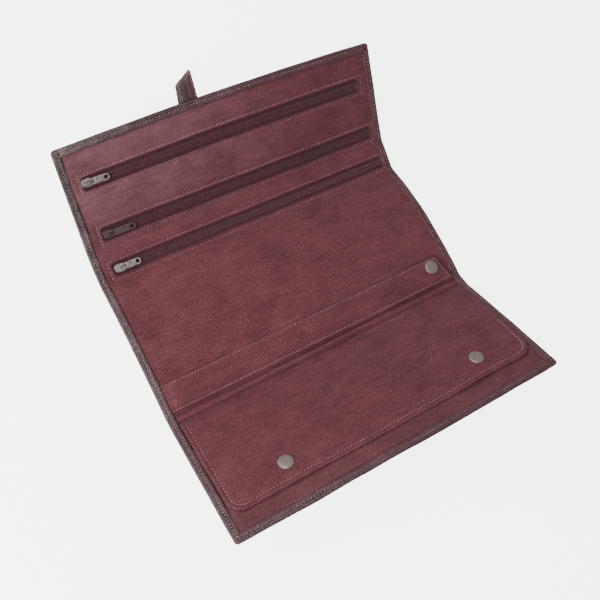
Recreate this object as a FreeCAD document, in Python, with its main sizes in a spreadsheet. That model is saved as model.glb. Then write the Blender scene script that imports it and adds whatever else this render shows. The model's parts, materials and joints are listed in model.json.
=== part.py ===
import FreeCAD, Part
import Sketcher
import math
import os
import re

# A jewelry roll, half open: a padded leather sheet that folds in three, with three zipped
# pockets, a snapped flap, a snapped ring strap and a closure strap sewn to its back.
#
# Frame: +X to the owner's right, +Y away from the owner, +Z up. The origin is on the surface
# that the roll rests on, under the middle of the middle panel.
#
# Every panel is a stack of sheets. Heights in a panel are counted from the lining's top face,
# and lengths from the fold nearest to the middle panel.

document = FreeCAD.newDocument("JewelryRoll")
sheet = document.addObject("Spreadsheet::Sheet", "Sizes")

# Driving dimensions, in millimetres and degrees
SIZES = {
    # The sheet and its folds
    "panel_width": 235.0,
    "lower_panel_length": 88.0,
    "lower_fold_length": 9.5,
    "middle_panel_length": 98.0,
    "upper_fold_length": 21.0,
    "upper_panel_length": 72.5,
    "lower_lift_angle": 28.0,
    "upper_lift_angle": 45.0,
    "arch_half_angle": 12.0,
    "axis_height": 1.2,
    # The stack of sheets
    "cover_thickness": 0.7,
    "padding_thickness": 0.6,
    "tape_thickness": 0.5,
    "lining_thickness": 0.7,
    "layer_gap": 0.05,
    "body_gap": 0.3,
    "turned_edge_width": 5.5,
    "outer_corner_radius": 2.5,
    "cut_overrun": 2.0,
    # The flap and the pocket panel under it
    "flap_gap_left": 0.6,
    "flap_gap_right": 2.0,
    "flap_length": 72.5,
    "flap_root_height": 0.4,
    "flap_root_gap": 0.3,
    "flap_corner_radius": 13.0,
    "flap_snap_inset": 14.0,
    "flap_snap_left_inset": 47.8,
    "flap_snap_right_inset": 43.8,
    "pocket_top_inset": 20.0,
    "pocket_side_gap": 0.1,
    # The ring strap
    "ring_strap_width": 19.5,
    "ring_strap_inset": 0.3,
    "ring_strap_thickness": 0.6,
    "ring_core_thickness": 0.8,
    "ring_core_margin": 2.5,
    "ring_gap_left": 0.6,
    "ring_gap_right": 2.0,
    "ring_slant_length": 7.0,
    "ring_snap_inset": 20.9,
    "ring_snap_offset": 3.1,
    "ring_root_height": 0.5,
    # The snaps: a cap riveted through the leather, its socket, and a stud
    "cap_diameter": 10.0,
    "cap_height": 1.2,
    "cap_slope_width": 1.5,
    "cap_slope_height": 0.7,
    "barrel_diameter": 2.6,
    "barrel_clearance": 0.1,
    "socket_diameter": 8.4,
    "socket_bore_diameter": 4.4,
    "socket_bore_depth": 0.7,
    "socket_web_thickness": 0.3,
    "snap_gap": 0.3,
    "stud_flange_diameter": 8.4,
    "stud_flange_thickness": 0.25,
    "stud_knob_diameter": 3.7,
    "stud_knob_height": 0.7,
    # The zips
    "top_zip_below_edge": 26.9,
    "middle_zip_above_fold": 9.3,
    "lower_zip_above_fold": 6.6,
    "top_window_left_inset": 12.5,
    "top_window_right_inset": 13.2,
    "middle_window_left_inset": 13.7,
    "middle_window_right_inset": 9.5,
    "lower_window_left_inset": 12.0,
    "lower_window_right_inset": 7.0,
    "window_half_height": 4.0,
    "lower_window_half_height": 3.5,
    "window_corner_radius": 2.6,
    "tape_half_width": 6.9,
    "lower_tape_half_width": 6.2,
    "tape_slit_width": 0.9,
    "tape_end_margin": 4.5,
    "coil_strand_width": 1.9,
    "coil_height": 1.2,
    "coil_pitch_length": 3.6,
    "coil_rib_depth": 0.3,
    "stop_length": 1.2,
    "stop_inset": 0.8,
    "stop_gap": 0.1,
    # The sliders and their pulls
    "slider_rest_inset": 4.3,
    "slider_width": 8.0,
    "slider_tail_length": 4.0,
    "slider_plate_thickness": 0.7,
    "slider_ride_height": 0.15,
    "slider_neck_width": 0.6,
    "slider_neck_inset": 0.5,
    "slider_neck_length": 2.5,
    "slider_flange_thickness": 0.5,
    "slider_side_gap": 0.3,
    "slider_base_thickness": 0.45,
    "slider_base_gap": 0.1,
    "slider_channel_width": 10.0,
    "bail_half_length": 2.9,
    "bail_height": 1.9,
    "bail_rise_inset": 0.8,
    "bail_thickness": 0.5,
    "bail_width": 0.8,
    "pull_axis_height": 0.65,
    "pull_thickness": 0.8,
    "pull_width": 4.5,
    "pull_length": 14.6,
    "middle_pull_length": 18.4,
    "pull_eye_length": 3.0,
    "pull_eye_width": 1.4,
    "pull_end_radius": 2.0,
    "pull_hole_diameter": 2.6,
    "pull_hole_inset": 2.2,
    # The closure strap on the back
    "strap_width": 12.0,
    "strap_thickness": 1.6,
    "strap_left_of_middle": 20.0,
    "strap_anchor_length": 24.0,
    "strap_hinge_reach": 0.5,
    "strap_hinge_gap": 0.35,
    "strap_bend_reach": 14.0,
    "strap_bend_angle": 135.0,
    "strap_corner_reach": 32.7,
    "strap_snap_reach": 7.0,
    "strap_tip_length": 13.9,
    "strap_tip_radius": 5.0,
    "closure_snap_inset": 4.9,
}

for row, (alias, amount) in enumerate(SIZES.items(), start=1):
    sheet.set("A%d" % row, alias)
    sheet.set("B%d" % row, str(amount))
    sheet.setAlias("B%d" % row, alias)
document.recompute()


def size(alias):
    """Read one driving dimension from the sheet."""
    return float(sheet.get(alias))


def rule(text):
    """Write the sheet's name before every alias in a size rule."""
    return re.sub(r"[a-z]+(_[a-z]+)+", lambda word: "Sizes." + word.group(), text)


# Heights in the stack, from the cover's outside up to the turned edge's top
TAPE_TOP = "-(lining_thickness + layer_gap)"
TAPE_LOW = "-(lining_thickness + layer_gap + tape_thickness)"
PADDING_TOP = "-(lining_thickness + tape_thickness + 2 * layer_gap)"
PADDING_LOW = "-(lining_thickness + tape_thickness + padding_thickness + 2 * layer_gap)"
BASE_TOP = "-(lining_thickness + tape_thickness + padding_thickness + 3 * layer_gap)"
BASE_LOW = "-(lining_thickness + tape_thickness + padding_thickness + cover_thickness + 3 * layer_gap)"
LIP_LOW = "layer_gap"
LIP_TOP = "(layer_gap + cover_thickness)"

# Across the roll
OUTER_HALF = "panel_width / 2"
CAVITY_HALF = "(panel_width / 2 - cover_thickness)"
LAYER_HALF = "(panel_width / 2 - cover_thickness - layer_gap)"
WINDOW_HALF = "(panel_width / 2 - turned_edge_width)"

# The flap and the ring strap reach from side to side of the lining that the turned edge leaves.
FLAP_LEFT = "(panel_width / 2 - turned_edge_width - flap_gap_left)"
FLAP_RIGHT = "(panel_width / 2 - turned_edge_width - flap_gap_right)"
RING_LEFT = "(panel_width / 2 - turned_edge_width - ring_gap_left)"
RING_RIGHT = "(panel_width / 2 - turned_edge_width - ring_gap_right)"


def from_middle(inset):
    """How far from the middle a place lies that is set by its distance from the panel's side."""
    return size("panel_width") / 2 - size(inset)


def snap_rise():
    """How far a snap's socket holds the leather above the face that the stud stands on."""
    stud = size("stud_flange_thickness") + size("snap_gap")
    return stud + size("socket_bore_depth") + size("socket_web_thickness")


def stack_depth():
    """Depth of the cover's outer face below the lining's top face."""
    inner = size("lining_thickness") + size("tape_thickness") + size("padding_thickness")
    return inner + size("cover_thickness") + 3 * size("layer_gap")


# Places of the bodies

UP = FreeCAD.Vector(0, 0, 1)
ACROSS = FreeCAD.Vector(1, 0, 0)
ALONG = FreeCAD.Vector(0, 1, 0)
CENTRE = FreeCAD.Vector(0, 0, 0)


def place(x, y, z, axis=ACROSS, angle=0):
    """A place at x, y, z, turned by an angle in degrees about an axis."""
    return FreeCAD.Placement(FreeCAD.Vector(x, y, z), FreeCAD.Rotation(axis, angle))


def hinge_point(y, z, angle, travel):
    """The end of a stretch of sheet that starts at y, z and rises at an angle."""
    turn = math.radians(angle)
    return y + travel * math.cos(turn), z + travel * math.sin(turn)


arch_turn = math.radians(size("arch_half_angle"))
arch_radius = size("middle_panel_length") / (2 * arch_turn)
half_chord = arch_radius * math.sin(arch_turn)
floor_depth = (size("axis_height") + stack_depth()) * math.cos(arch_turn)
arch_drop = arch_radius * math.cos(arch_turn) - floor_depth
lower_fold_angle = -size("lower_lift_angle") / 2
upper_fold_angle = size("upper_lift_angle") / 2
hinge_a = (-half_chord, floor_depth)
hinge_b = hinge_point(*hinge_a, lower_fold_angle, -size("lower_fold_length"))
hinge_c = (half_chord, floor_depth)
hinge_d = hinge_point(*hinge_c, upper_fold_angle, size("upper_fold_length"))


def panel_place(hinge, angle):
    """The place of a panel whose lining lies under the hinge's axis."""
    return place(0, hinge[0], hinge[1], ACROSS, angle) * place(0, 0, -size("axis_height"))


arch_place = place(0, 0, -arch_drop)
lower_fold_place = panel_place(hinge_a, lower_fold_angle)
lower_panel_place = panel_place(hinge_b, -size("lower_lift_angle"))
upper_fold_place = panel_place(hinge_c, upper_fold_angle)
upper_panel_place = panel_place(hinge_d, size("upper_lift_angle"))

# The flap rises from its root until its snaps lift it off the pocket panel.
pocket_top = size("layer_gap") + size("lining_thickness")
flap_snap_reach = size("flap_length") - size("flap_snap_inset")
flap_rise = pocket_top + snap_rise() - size("flap_root_height")
flap_tilt = math.degrees(math.asin(flap_rise / flap_snap_reach))
flap_place = (lower_panel_place * place(0, -size("flap_root_gap"), size("flap_root_height"))
              * place(0, 0, 0, ACROSS, -flap_tilt))

# The ring strap lies along X near the lower fold and rises towards its snap.
ring_centre = size("ring_strap_inset") + size("ring_strap_width") / 2
ring_turn = arch_turn - ring_centre / arch_radius
ring_seat_place = (arch_place * place(0, 0, 0, ACROSS, math.degrees(ring_turn))
                   * place(0, 0, arch_radius - size("axis_height")))
ring_left = from_middle("turned_edge_width") - size("ring_gap_left")
ring_span = ring_left + from_middle("ring_snap_inset")
ring_tilt = math.degrees(math.asin((snap_rise() - size("ring_root_height")) / ring_span))
ring_place = (ring_seat_place * place(-ring_left, 0, size("ring_root_height"))
              * place(0, 0, 0, ALONG, -ring_tilt))

# The closure strap starts on the back at the upper panel's free edge and hangs from a bend.
strap_x = -size("strap_left_of_middle")
strap_top = -(stack_depth() + size("layer_gap"))
strap_low = strap_top - size("strap_thickness")
strap_hinge_y = size("upper_panel_length") + size("strap_hinge_reach")
strap_place = upper_panel_place * place(strap_x, strap_hinge_y, strap_low)
bend_place = (strap_place * place(0, size("strap_bend_reach"), 0)
              * place(0, 0, 0, ACROSS, -size("strap_bend_angle")))
hang_length = size("strap_corner_reach") - size("strap_bend_reach")
tip_place = bend_place * place(0, hang_length, 0)


# Sketches and features

def new_body(name, where):
    """Start a piece whose label is its name."""
    body = document.addObject("PartDesign::Body", name)
    body.Label = name
    body.Placement = where
    return body


def new_sketch(body, name, role, height="0"):
    """Attach a sketch to one of the body's own planes, at a height above it."""
    sketch = body.newObject("Sketcher::SketchObject", name)
    plane = [item for item in body.Origin.OriginFeatures if item.Role == role][0]
    sketch.AttachmentSupport = [(plane, "")]
    sketch.MapMode = "FlatFace"
    sketch.setExpression("AttachmentOffset.Base.z", rule(height))
    return sketch


def bind(sketch, kind, places, text):
    """Add a constraint and let it follow a size rule."""
    index = sketch.addConstraint(Sketcher.Constraint(kind, *places, 1.0))
    sketch.setExpression("Constraints[%d]" % index, rule(text))


def polygon(sketch, corners):
    """Add a closed outline through corners given as pairs of rules."""
    first = sketch.GeometryCount
    count = len(corners)
    turns = [2 * math.pi * number / count for number in range(count)]
    start = [FreeCAD.Vector(math.cos(turn), math.sin(turn), 0) for turn in turns]
    for number in range(count):
        edge = Part.LineSegment(start[number], start[(number + 1) % count])
        sketch.addGeometry(edge, False)
    for number in range(count):
        edge = first + number
        following = first + (number + 1) % count
        sketch.addConstraint(Sketcher.Constraint("Coincident", edge, 2, following, 1))
        bind(sketch, "DistanceX", (-1, 1, edge, 1), corners[number][0])
        bind(sketch, "DistanceY", (-1, 1, edge, 1), corners[number][1])


def rectangle(sketch, left, near, right, far):
    """Add a rectangle between four rules."""
    polygon(sketch, [(left, near), (right, near), (right, far), (left, far)])


def circle(sketch, x, y, diameter):
    """Add a circle."""
    ring = sketch.addGeometry(Part.Circle(CENTRE, UP, 1), False)
    bind(sketch, "DistanceX", (-1, 1, ring, 3), x)
    bind(sketch, "DistanceY", (-1, 1, ring, 3), y)
    bind(sketch, "Diameter", (ring,), diameter)


def arch_slice(sketch, low, high, ends):
    """Add a slice of the arch between two heights; its ends run on by a rule."""
    radii = ["(middle_panel_length * 90 / (pi * arch_half_angle) - axis_height + %s)" % text
             for text in (high, low)]
    for number, radius in enumerate(radii):
        round_edge = Part.Circle(CENTRE, UP, arch_radius - number)
        arc = Part.ArcOfCircle(round_edge, math.pi / 2 - arch_turn, math.pi / 2 + arch_turn)
        sketch.addGeometry(arc, False)
        sketch.addConstraint(Sketcher.Constraint("Coincident", number, 3, -1, 1))
        bind(sketch, "Radius", (number,), radius)
        reach = "%s * sin(arch_half_angle * 1 deg) + %s" % (radius, ends)
        bind(sketch, "DistanceX", (-1, 1, number, 1), reach)
        bind(sketch, "DistanceX", (-1, 1, number, 2), "-(%s)" % reach)
    outer, inner = sketch.Geometry[0], sketch.Geometry[1]
    for corner, (top, bottom) in enumerate([(outer.StartPoint, inner.StartPoint),
                                            (outer.EndPoint, inner.EndPoint)], start=1):
        side = sketch.addGeometry(Part.LineSegment(top, bottom), False)
        sketch.addConstraint(Sketcher.Constraint("Coincident", side, 1, 0, corner))
        sketch.addConstraint(Sketcher.Constraint("Coincident", side, 2, 1, corner))


def extrude(body, kind, name, sketch, length, both_ways=False):
    """Pad or pocket a sketch."""
    feature = body.newObject("PartDesign::" + kind, name)
    feature.Profile = sketch
    feature.Midplane = both_ways
    feature.setExpression("Length", rule(length))
    return feature


def revolve(body, name, sketch):
    """Turn a profile once about the body's own vertical axis."""
    feature = body.newObject("PartDesign::Revolution", name)
    feature.Profile = sketch
    feature.ReferenceAxis = (sketch, ["V_Axis"])
    feature.Angle = 360
    return feature


def fillet(body, name, radius, wanted):
    """Round the edges of the finished piece that a test picks."""
    document.recompute()
    base = body.Tip
    edges = ["Edge%d" % number for number, edge in enumerate(base.Shape.Edges, start=1) if wanted(edge)]
    feature = body.newObject("PartDesign::Fillet", name)
    feature.Base = (base, edges)
    feature.setExpression("Radius", rule(radius))
    return feature


def upright(edge):
    """True for a straight edge along the body's own Z."""
    low, high = edge.Vertexes[0].Point, edge.Vertexes[-1].Point
    return abs(low.x - high.x) + abs(low.y - high.y) < 1e-6 and abs(low.z - high.z) > 1e-6


def upright_beyond(x=None, y=None, half_width=None):
    """A test for upright edges past a given x or y, in the direction of its sign."""
    def wanted(edge):
        point = edge.Vertexes[0].Point
        if not upright(edge):
            return False
        if half_width is not None and abs(point.x) < half_width:
            return False
        if x is not None and point.x * math.copysign(1, x) < abs(x):
            return False
        return y is None or point.y * math.copysign(1, y) > abs(y)
    return wanted


def plate(name, where, low, high, corners, holes=()):
    """A flat sheet between two heights, with an outline and holes."""
    body = new_body(name, where)
    outline = new_sketch(body, name + "_outline", "XY_Plane", low)
    polygon(outline, corners)
    for hole in holes:
        hole(outline)
    extrude(body, "Pad", name + "_sheet", outline, "%s - (%s)" % (high, low))
    return body


def oblong(left, near, right, far):
    """The four corners of a rectangle, as rules."""
    return [(left, near), (right, near), (right, far), (left, far)]


# The cover, the lining and the padding

NEAR_EDGE = "-lower_panel_length"
FAR_EDGE = "upper_panel_length"
GAP_HALF = "body_gap / 2"


def tray(name, where, near, far, closed_near=False, closed_far=False):
    """A flat stretch of the cover, its edges turned over on to the lining."""
    body = new_body(name, where)
    outline = new_sketch(body, name + "_outline", "XY_Plane", BASE_LOW)
    rectangle(outline, "-" + OUTER_HALF, near, OUTER_HALF, far)
    extrude(body, "Pad", name + "_block", outline, "%s - (%s)" % (LIP_TOP, BASE_LOW))
    if closed_near or closed_far:
        edge = size("upper_panel_length") / 2 if closed_far else -size("lower_panel_length") / 2
        fillet(body, name + "_corners", "outer_corner_radius", upright_beyond(y=edge))
    for part, half, top, low, margin in (("hollow", CAVITY_HALF, LIP_LOW, BASE_TOP, "cover_thickness"),
                                         ("window", WINDOW_HALF, "(%s + cut_overrun)" % LIP_TOP, "0",
                                          "turned_edge_width")):
        start = near + (" + " + margin if closed_near else " - cut_overrun")
        end = far + (" - " + margin if closed_far else " + cut_overrun")
        cut = new_sketch(body, name + "_" + part, "XY_Plane", top)
        rectangle(cut, "-" + half, start, half, end)
        extrude(body, "Pocket", name + "_" + part + "_cut", cut, "%s - (%s)" % (top, low))
    return body


def arched(name, low, high, half):
    """One sheet of the middle panel, bent over the arch."""
    body = new_body(name, arch_place)
    side = new_sketch(body, name + "_side", "YZ_Plane")
    arch_slice(side, low, high, "-" + GAP_HALF)
    extrude(body, "Pad", name + "_sheet", side, "2 * " + half, both_ways=True)
    return body


def panel_sheet(name, where, low, high, near, far, holes=()):
    """A sheet that fills the tray from side to side."""
    return plate(name, where, low, high, oblong("-" + LAYER_HALF, near, LAYER_HALF, far), holes)


def make_middle():
    cover = arched("cover_middle", BASE_LOW, LIP_TOP, "(%s)" % OUTER_HALF)
    for part, half, low, high in (("hollow", CAVITY_HALF, BASE_TOP, LIP_LOW),
                                  ("window", WINDOW_HALF, "0", "(%s + cut_overrun)" % LIP_TOP)):
        side = new_sketch(cover, "cover_middle_" + part, "YZ_Plane")
        arch_slice(side, low, high, "cut_overrun")
        extrude(cover, "Pocket", "cover_middle_" + part + "_cut", side, "2 * " + half, both_ways=True)
    arched("padding_middle", PADDING_LOW, PADDING_TOP, LAYER_HALF)
    arched("pocket_bag_middle", TAPE_LOW, TAPE_TOP, LAYER_HALF)
    arched("lining_middle", "-lining_thickness", "0", LAYER_HALF)


def make_lower():
    inner = "-lower_panel_length + cover_thickness + layer_gap"
    tray("cover_lower", lower_panel_place, NEAR_EDGE, "-" + GAP_HALF, closed_near=True)
    panel_sheet("padding_lower", lower_panel_place, PADDING_LOW, PADDING_TOP, inner, "-" + GAP_HALF)
    panel_sheet("lining_lower", lower_panel_place, "-lining_thickness", "0", inner, "-" + GAP_HALF)
    fold_near = "-lower_fold_length + " + GAP_HALF
    tray("cover_lower_fold", lower_fold_place, fold_near, "-" + GAP_HALF)
    panel_sheet("padding_lower_fold", lower_fold_place, PADDING_LOW, PADDING_TOP, fold_near, "-" + GAP_HALF)
    panel_sheet("lining_lower_fold", lower_fold_place, "-lining_thickness", "0", fold_near, "-" + GAP_HALF)


# The zips
# Each one is a window in the lining, two tapes with a slit between them, two ribbed coils, stops
# at both ends, a slider and its pull. The padding has a channel for the slider's lower plate.

ZIPS = {
    "top": {"where": upper_panel_place, "centre": "(upper_panel_length - top_zip_below_edge)",
            "centre_y": size("upper_panel_length") - size("top_zip_below_edge"),
            "half": "window_half_height", "tape": "tape_half_width", "pull": "pull_length"},
    "middle": {"where": upper_panel_place, "centre": "middle_zip_above_fold",
               "centre_y": size("middle_zip_above_fold"),
               "half": "window_half_height", "tape": "tape_half_width", "pull": "middle_pull_length"},
    "lower": {"where": upper_fold_place, "centre": "lower_zip_above_fold",
              "centre_y": size("lower_zip_above_fold"),
              "half": "lower_window_half_height", "tape": "lower_tape_half_width", "pull": "pull_length"},
}
COIL_OUTER = "(tape_slit_width / 2 + coil_strand_width)"


def window_sides(name):
    """The left and right end of a zip's window, as rules."""
    return ("-(panel_width / 2 - %s_window_left_inset)" % name,
            "(panel_width / 2 - %s_window_right_inset)" % name)


def window(name):
    """A function that cuts a zip's window in the lining's sketch."""
    item = ZIPS[name]
    left, right = window_sides(name)

    def cut(sketch):
        rectangle(sketch, left, "%s - %s" % (item["centre"], item["half"]),
                  right, "%s + %s" % (item["centre"], item["half"]))
    return cut


def channel(name):
    """A function that cuts the slider's channel in the padding's sketch."""
    item = ZIPS[name]
    left, right = window_sides(name)

    def cut(sketch):
        rectangle(sketch, left + " - cut_overrun", item["centre"] + " - slider_channel_width / 2",
                  right + " + cut_overrun", item["centre"] + " + slider_channel_width / 2")
    return cut


def round_windows(body, name):
    """Round the corners of the windows, all but the square end of the middle one."""
    def wanted(edge):
        point = edge.Vertexes[0].Point
        inside = abs(point.x) < size("panel_width") / 2 - size("turned_edge_width")
        middle_zip = abs(point.y - size("middle_zip_above_fold")) < size("tape_half_width")
        square_end = point.x > 0 and middle_zip and body.Label == "lining_upper"
        return upright(edge) and inside and not square_end
    fillet(body, name, "window_corner_radius", wanted)


def make_upper():
    inner = "upper_panel_length - cover_thickness - layer_gap"
    tray("cover_upper", upper_panel_place, GAP_HALF, FAR_EDGE, closed_far=True)
    panel_sheet("padding_upper", upper_panel_place, PADDING_LOW, PADDING_TOP, GAP_HALF, inner,
                (channel("top"), channel("middle")))
    lining = panel_sheet("lining_upper", upper_panel_place, "-lining_thickness", "0", GAP_HALF, inner,
                         (window("top"), window("middle")))
    round_windows(lining, "lining_upper_windows")
    panel_sheet("pocket_bag_top", upper_panel_place, TAPE_LOW, TAPE_TOP,
                "middle_zip_above_fold + tape_half_width + body_gap",
                "upper_panel_length - top_zip_below_edge - tape_half_width - body_gap")
    fold_far = "upper_fold_length - " + GAP_HALF
    tray("cover_upper_fold", upper_fold_place, GAP_HALF, fold_far)
    panel_sheet("padding_upper_fold", upper_fold_place, PADDING_LOW, PADDING_TOP, GAP_HALF, fold_far,
                (channel("lower"),))
    lining = panel_sheet("lining_upper_fold", upper_fold_place, "-lining_thickness", "0",
                         GAP_HALF, fold_far, (window("lower"),))
    round_windows(lining, "lining_upper_fold_windows")
    panel_sheet("pocket_bag_fold", upper_fold_place, TAPE_LOW, TAPE_TOP,
                "lower_zip_above_fold + lower_tape_half_width + body_gap", fold_far)


def ribbed_strand(name, item, side):
    """One coil strand: a bar whose top rises and falls once for each turn of the coil."""
    stop_end = size("stop_inset") + size("stop_length") + size("stop_gap")
    left = -from_middle(name + "_window_left_inset") + stop_end
    right = from_middle(name + "_window_right_inset") - stop_end
    low = -(size("lining_thickness") + size("layer_gap"))
    top = low + size("coil_height")
    count = int((right - left) / size("coil_pitch_length"))
    pitch = (right - left) / count
    inner = size("tape_slit_width") / 2
    y = item["centre_y"] + (inner if side > 0 else -inner - size("coil_strand_width"))
    points = [FreeCAD.Vector(left, y, low)]
    for turn in range(count):
        start = left + turn * pitch
        points.append(FreeCAD.Vector(start, y, top - size("coil_rib_depth")))
        points.append(FreeCAD.Vector(start + pitch / 2, y, top))
    points.append(FreeCAD.Vector(right, y, top - size("coil_rib_depth")))
    points.append(FreeCAD.Vector(right, y, low))
    points.append(points[0])
    face = Part.Face(Part.makePolygon(points))
    return face.extrude(FreeCAD.Vector(0, size("coil_strand_width"), 0))


def make_zip(name):
    item = ZIPS[name]
    where, centre = item["where"], item["centre"]
    left, right = window_sides(name)
    tape = new_body(name + "_zip_tape", where)
    strips = new_sketch(tape, name + "_zip_strips", "XY_Plane", TAPE_LOW)
    for near, far in (("- " + item["tape"], "- tape_slit_width / 2"),
                      ("+ tape_slit_width / 2", "+ " + item["tape"])):
        rectangle(strips, left + " - tape_end_margin", "%s %s" % (centre, near),
                  right + " + tape_end_margin", "%s %s" % (centre, far))
    extrude(tape, "Pad", name + "_zip_tape_pad", strips, "tape_thickness")

    coil = document.addObject("Part::Feature", name + "_zip_coil")
    coil.Label = name + "_zip_coil"
    coil.Shape = Part.makeCompound([ribbed_strand(name, item, -1), ribbed_strand(name, item, 1)])
    coil.Placement = where

    stops = new_body(name + "_zip_stops", where)
    blocks = new_sketch(stops, name + "_zip_stop_outline", "XY_Plane", TAPE_TOP)
    for near, far in (("- " + COIL_OUTER, "- tape_slit_width / 2"),
                      ("+ tape_slit_width / 2", "+ " + COIL_OUTER)):
        rectangle(blocks, left + " + stop_inset", "%s %s" % (centre, near),
                  left + " + stop_inset + stop_length", "%s %s" % (centre, far))
    rectangle(blocks, right + " - stop_inset - stop_length", "%s - %s" % (centre, COIL_OUTER),
              right + " - stop_inset", "%s + %s" % (centre, COIL_OUTER))
    extrude(stops, "Pad", name + "_zip_stop_pad", blocks, "coil_height")


# Heights of the slider's parts, from the lining's top face
PLATE_LOW = "(coil_height + slider_ride_height - lining_thickness - layer_gap)"
PLATE_TOP = "(%s + slider_plate_thickness)" % PLATE_LOW
SLIDER_BASE_TOP = "(%s - slider_base_gap)" % TAPE_LOW
SLIDER_BASE_LOW = "(%s - slider_base_thickness)" % SLIDER_BASE_TOP
FLANGE_LOW = "(-lining_thickness - layer_gap + slider_side_gap)"
FLANGE_INNER = "(%s + slider_side_gap)" % COIL_OUTER


def nosed_plate(sketch):
    """Add the slider's outline: half a round at the nose, square at the tail."""
    radius = size("slider_width") / 2
    nose = Part.ArcOfCircle(Part.Circle(CENTRE, UP, radius), math.pi / 2, math.pi * 3 / 2)
    sketch.addGeometry(nose, False)
    sketch.addConstraint(Sketcher.Constraint("Coincident", 0, 3, -1, 1))
    sketch.addConstraint(Sketcher.Constraint("PointOnObject", 0, 1, -2))
    sketch.addConstraint(Sketcher.Constraint("PointOnObject", 0, 2, -2))
    bind(sketch, "Radius", (0,), "slider_width / 2")
    tail = size("slider_tail_length")
    corners = [(0, -radius), (tail, -radius), (tail, radius), (0, radius)]
    points = [FreeCAD.Vector(x, y, 0) for x, y in corners]
    for number in range(3):
        sketch.addGeometry(Part.LineSegment(points[number], points[number + 1]), False)
    sketch.addConstraint(Sketcher.Constraint("Coincident", 1, 1, 0, 2))
    sketch.addConstraint(Sketcher.Constraint("Coincident", 1, 2, 2, 1))
    sketch.addConstraint(Sketcher.Constraint("Coincident", 2, 2, 3, 1))
    sketch.addConstraint(Sketcher.Constraint("Coincident", 3, 2, 0, 1))
    sketch.addConstraint(Sketcher.Constraint("Horizontal", 1))
    sketch.addConstraint(Sketcher.Constraint("Vertical", 2))
    sketch.addConstraint(Sketcher.Constraint("Horizontal", 3))
    bind(sketch, "DistanceX", (-1, 1, 1, 2), "slider_tail_length")


def make_slider(name):
    item = ZIPS[name]
    x = size("slider_rest_inset") - from_middle(name + "_window_left_inset")
    where = item["where"] * place(x, item["centre_y"], 0)
    body = new_body(name + "_slider", where)
    top = new_sketch(body, name + "_slider_top", "XY_Plane", PLATE_LOW)
    nosed_plate(top)
    extrude(body, "Pad", name + "_slider_top_pad", top, "slider_plate_thickness")
    flanges = new_sketch(body, name + "_slider_flanges", "XY_Plane", FLANGE_LOW)
    for near, far in (("-(%s + slider_flange_thickness)" % FLANGE_INNER, "-" + FLANGE_INNER),
                      (FLANGE_INNER, "%s + slider_flange_thickness" % FLANGE_INNER)):
        rectangle(flanges, "0", near, "slider_tail_length", far)
    extrude(body, "Pad", name + "_slider_flange_pad", flanges, "%s - %s" % (PLATE_TOP, FLANGE_LOW))
    neck = new_sketch(body, name + "_slider_neck", "XY_Plane", SLIDER_BASE_LOW)
    rectangle(neck, "-slider_neck_inset", "-slider_neck_width / 2",
              "slider_neck_length - slider_neck_inset", "slider_neck_width / 2")
    extrude(body, "Pad", name + "_slider_neck_pad", neck, "%s - %s" % (PLATE_TOP, SLIDER_BASE_LOW))
    base = new_sketch(body, name + "_slider_base", "XY_Plane", SLIDER_BASE_LOW)
    nosed_plate(base)
    extrude(body, "Pad", name + "_slider_base_pad", base, "slider_base_thickness")
    bail = new_sketch(body, name + "_slider_bail", "XZ_Plane")
    foot, crown = PLATE_TOP, PLATE_TOP + " + bail_height"
    wide, high = "bail_half_length", "(bail_half_length - bail_rise_inset)"
    inner, under = "(%s - bail_thickness / 2)" % high, crown + " - bail_thickness"
    polygon(bail, [("-" + wide, foot), ("-" + high, crown), (high, crown), (wide, foot),
                   (wide + " - bail_thickness", foot), (inner, under), ("-" + inner, under),
                   ("-(%s - bail_thickness)" % wide, foot)])
    extrude(body, "Pad", name + "_slider_bail_pad", bail, "bail_width", both_ways=True)

    plate_top = (size("coil_height") + size("slider_ride_height") - size("lining_thickness")
                 - size("layer_gap") + size("slider_plate_thickness"))
    pull = new_body(name + "_pull", where * place(0, 0, plate_top + size("pull_axis_height")))
    outline = new_sketch(pull, name + "_pull_outline", "XY_Plane")
    bar = "pull_thickness / 2"
    rectangle(outline, "-" + bar, "-pull_width / 2", item["pull"], "pull_width / 2")
    rectangle(outline, bar, "-pull_eye_width / 2", "%s + pull_eye_length" % bar, "pull_eye_width / 2")
    circle(outline, item["pull"] + " - pull_hole_inset", "0", "pull_hole_diameter")
    extrude(pull, "Pad", name + "_pull_sheet", outline, "pull_thickness", both_ways=True)
    fillet(pull, name + "_pull_end", "pull_end_radius", upright_beyond(x=size(item["pull"]) / 2))


# The snaps

def make_cap(name, where, barrel_length):
    """A riveted cap: its barrel goes down through the leather on to the socket's web."""
    body = new_body(name, where)
    half = new_sketch(body, name + "_profile", "XZ_Plane")
    polygon(half, [("0", "-(%s)" % barrel_length), ("barrel_diameter / 2", "-(%s)" % barrel_length),
                   ("barrel_diameter / 2", "layer_gap"), ("cap_diameter / 2", "layer_gap"),
                   ("cap_diameter / 2", "layer_gap + cap_height - cap_slope_height"),
                   ("cap_diameter / 2 - cap_slope_width", "layer_gap + cap_height"),
                   ("0", "layer_gap + cap_height")])
    revolve(body, name + "_turned", half)


def make_socket(name, where):
    """The ring under the leather that clips over a stud; its top face is the place's origin."""
    body = new_body(name, where)
    half = new_sketch(body, name + "_profile", "XZ_Plane")
    top, web = "-layer_gap", "-socket_web_thickness"
    low = "-(socket_web_thickness + socket_bore_depth)"
    polygon(half, [("0", top), ("0", web), ("socket_bore_diameter / 2", web),
                   ("socket_bore_diameter / 2", low), ("socket_diameter / 2", low),
                   ("socket_diameter / 2", top)])
    revolve(body, name + "_turned", half)


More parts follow.
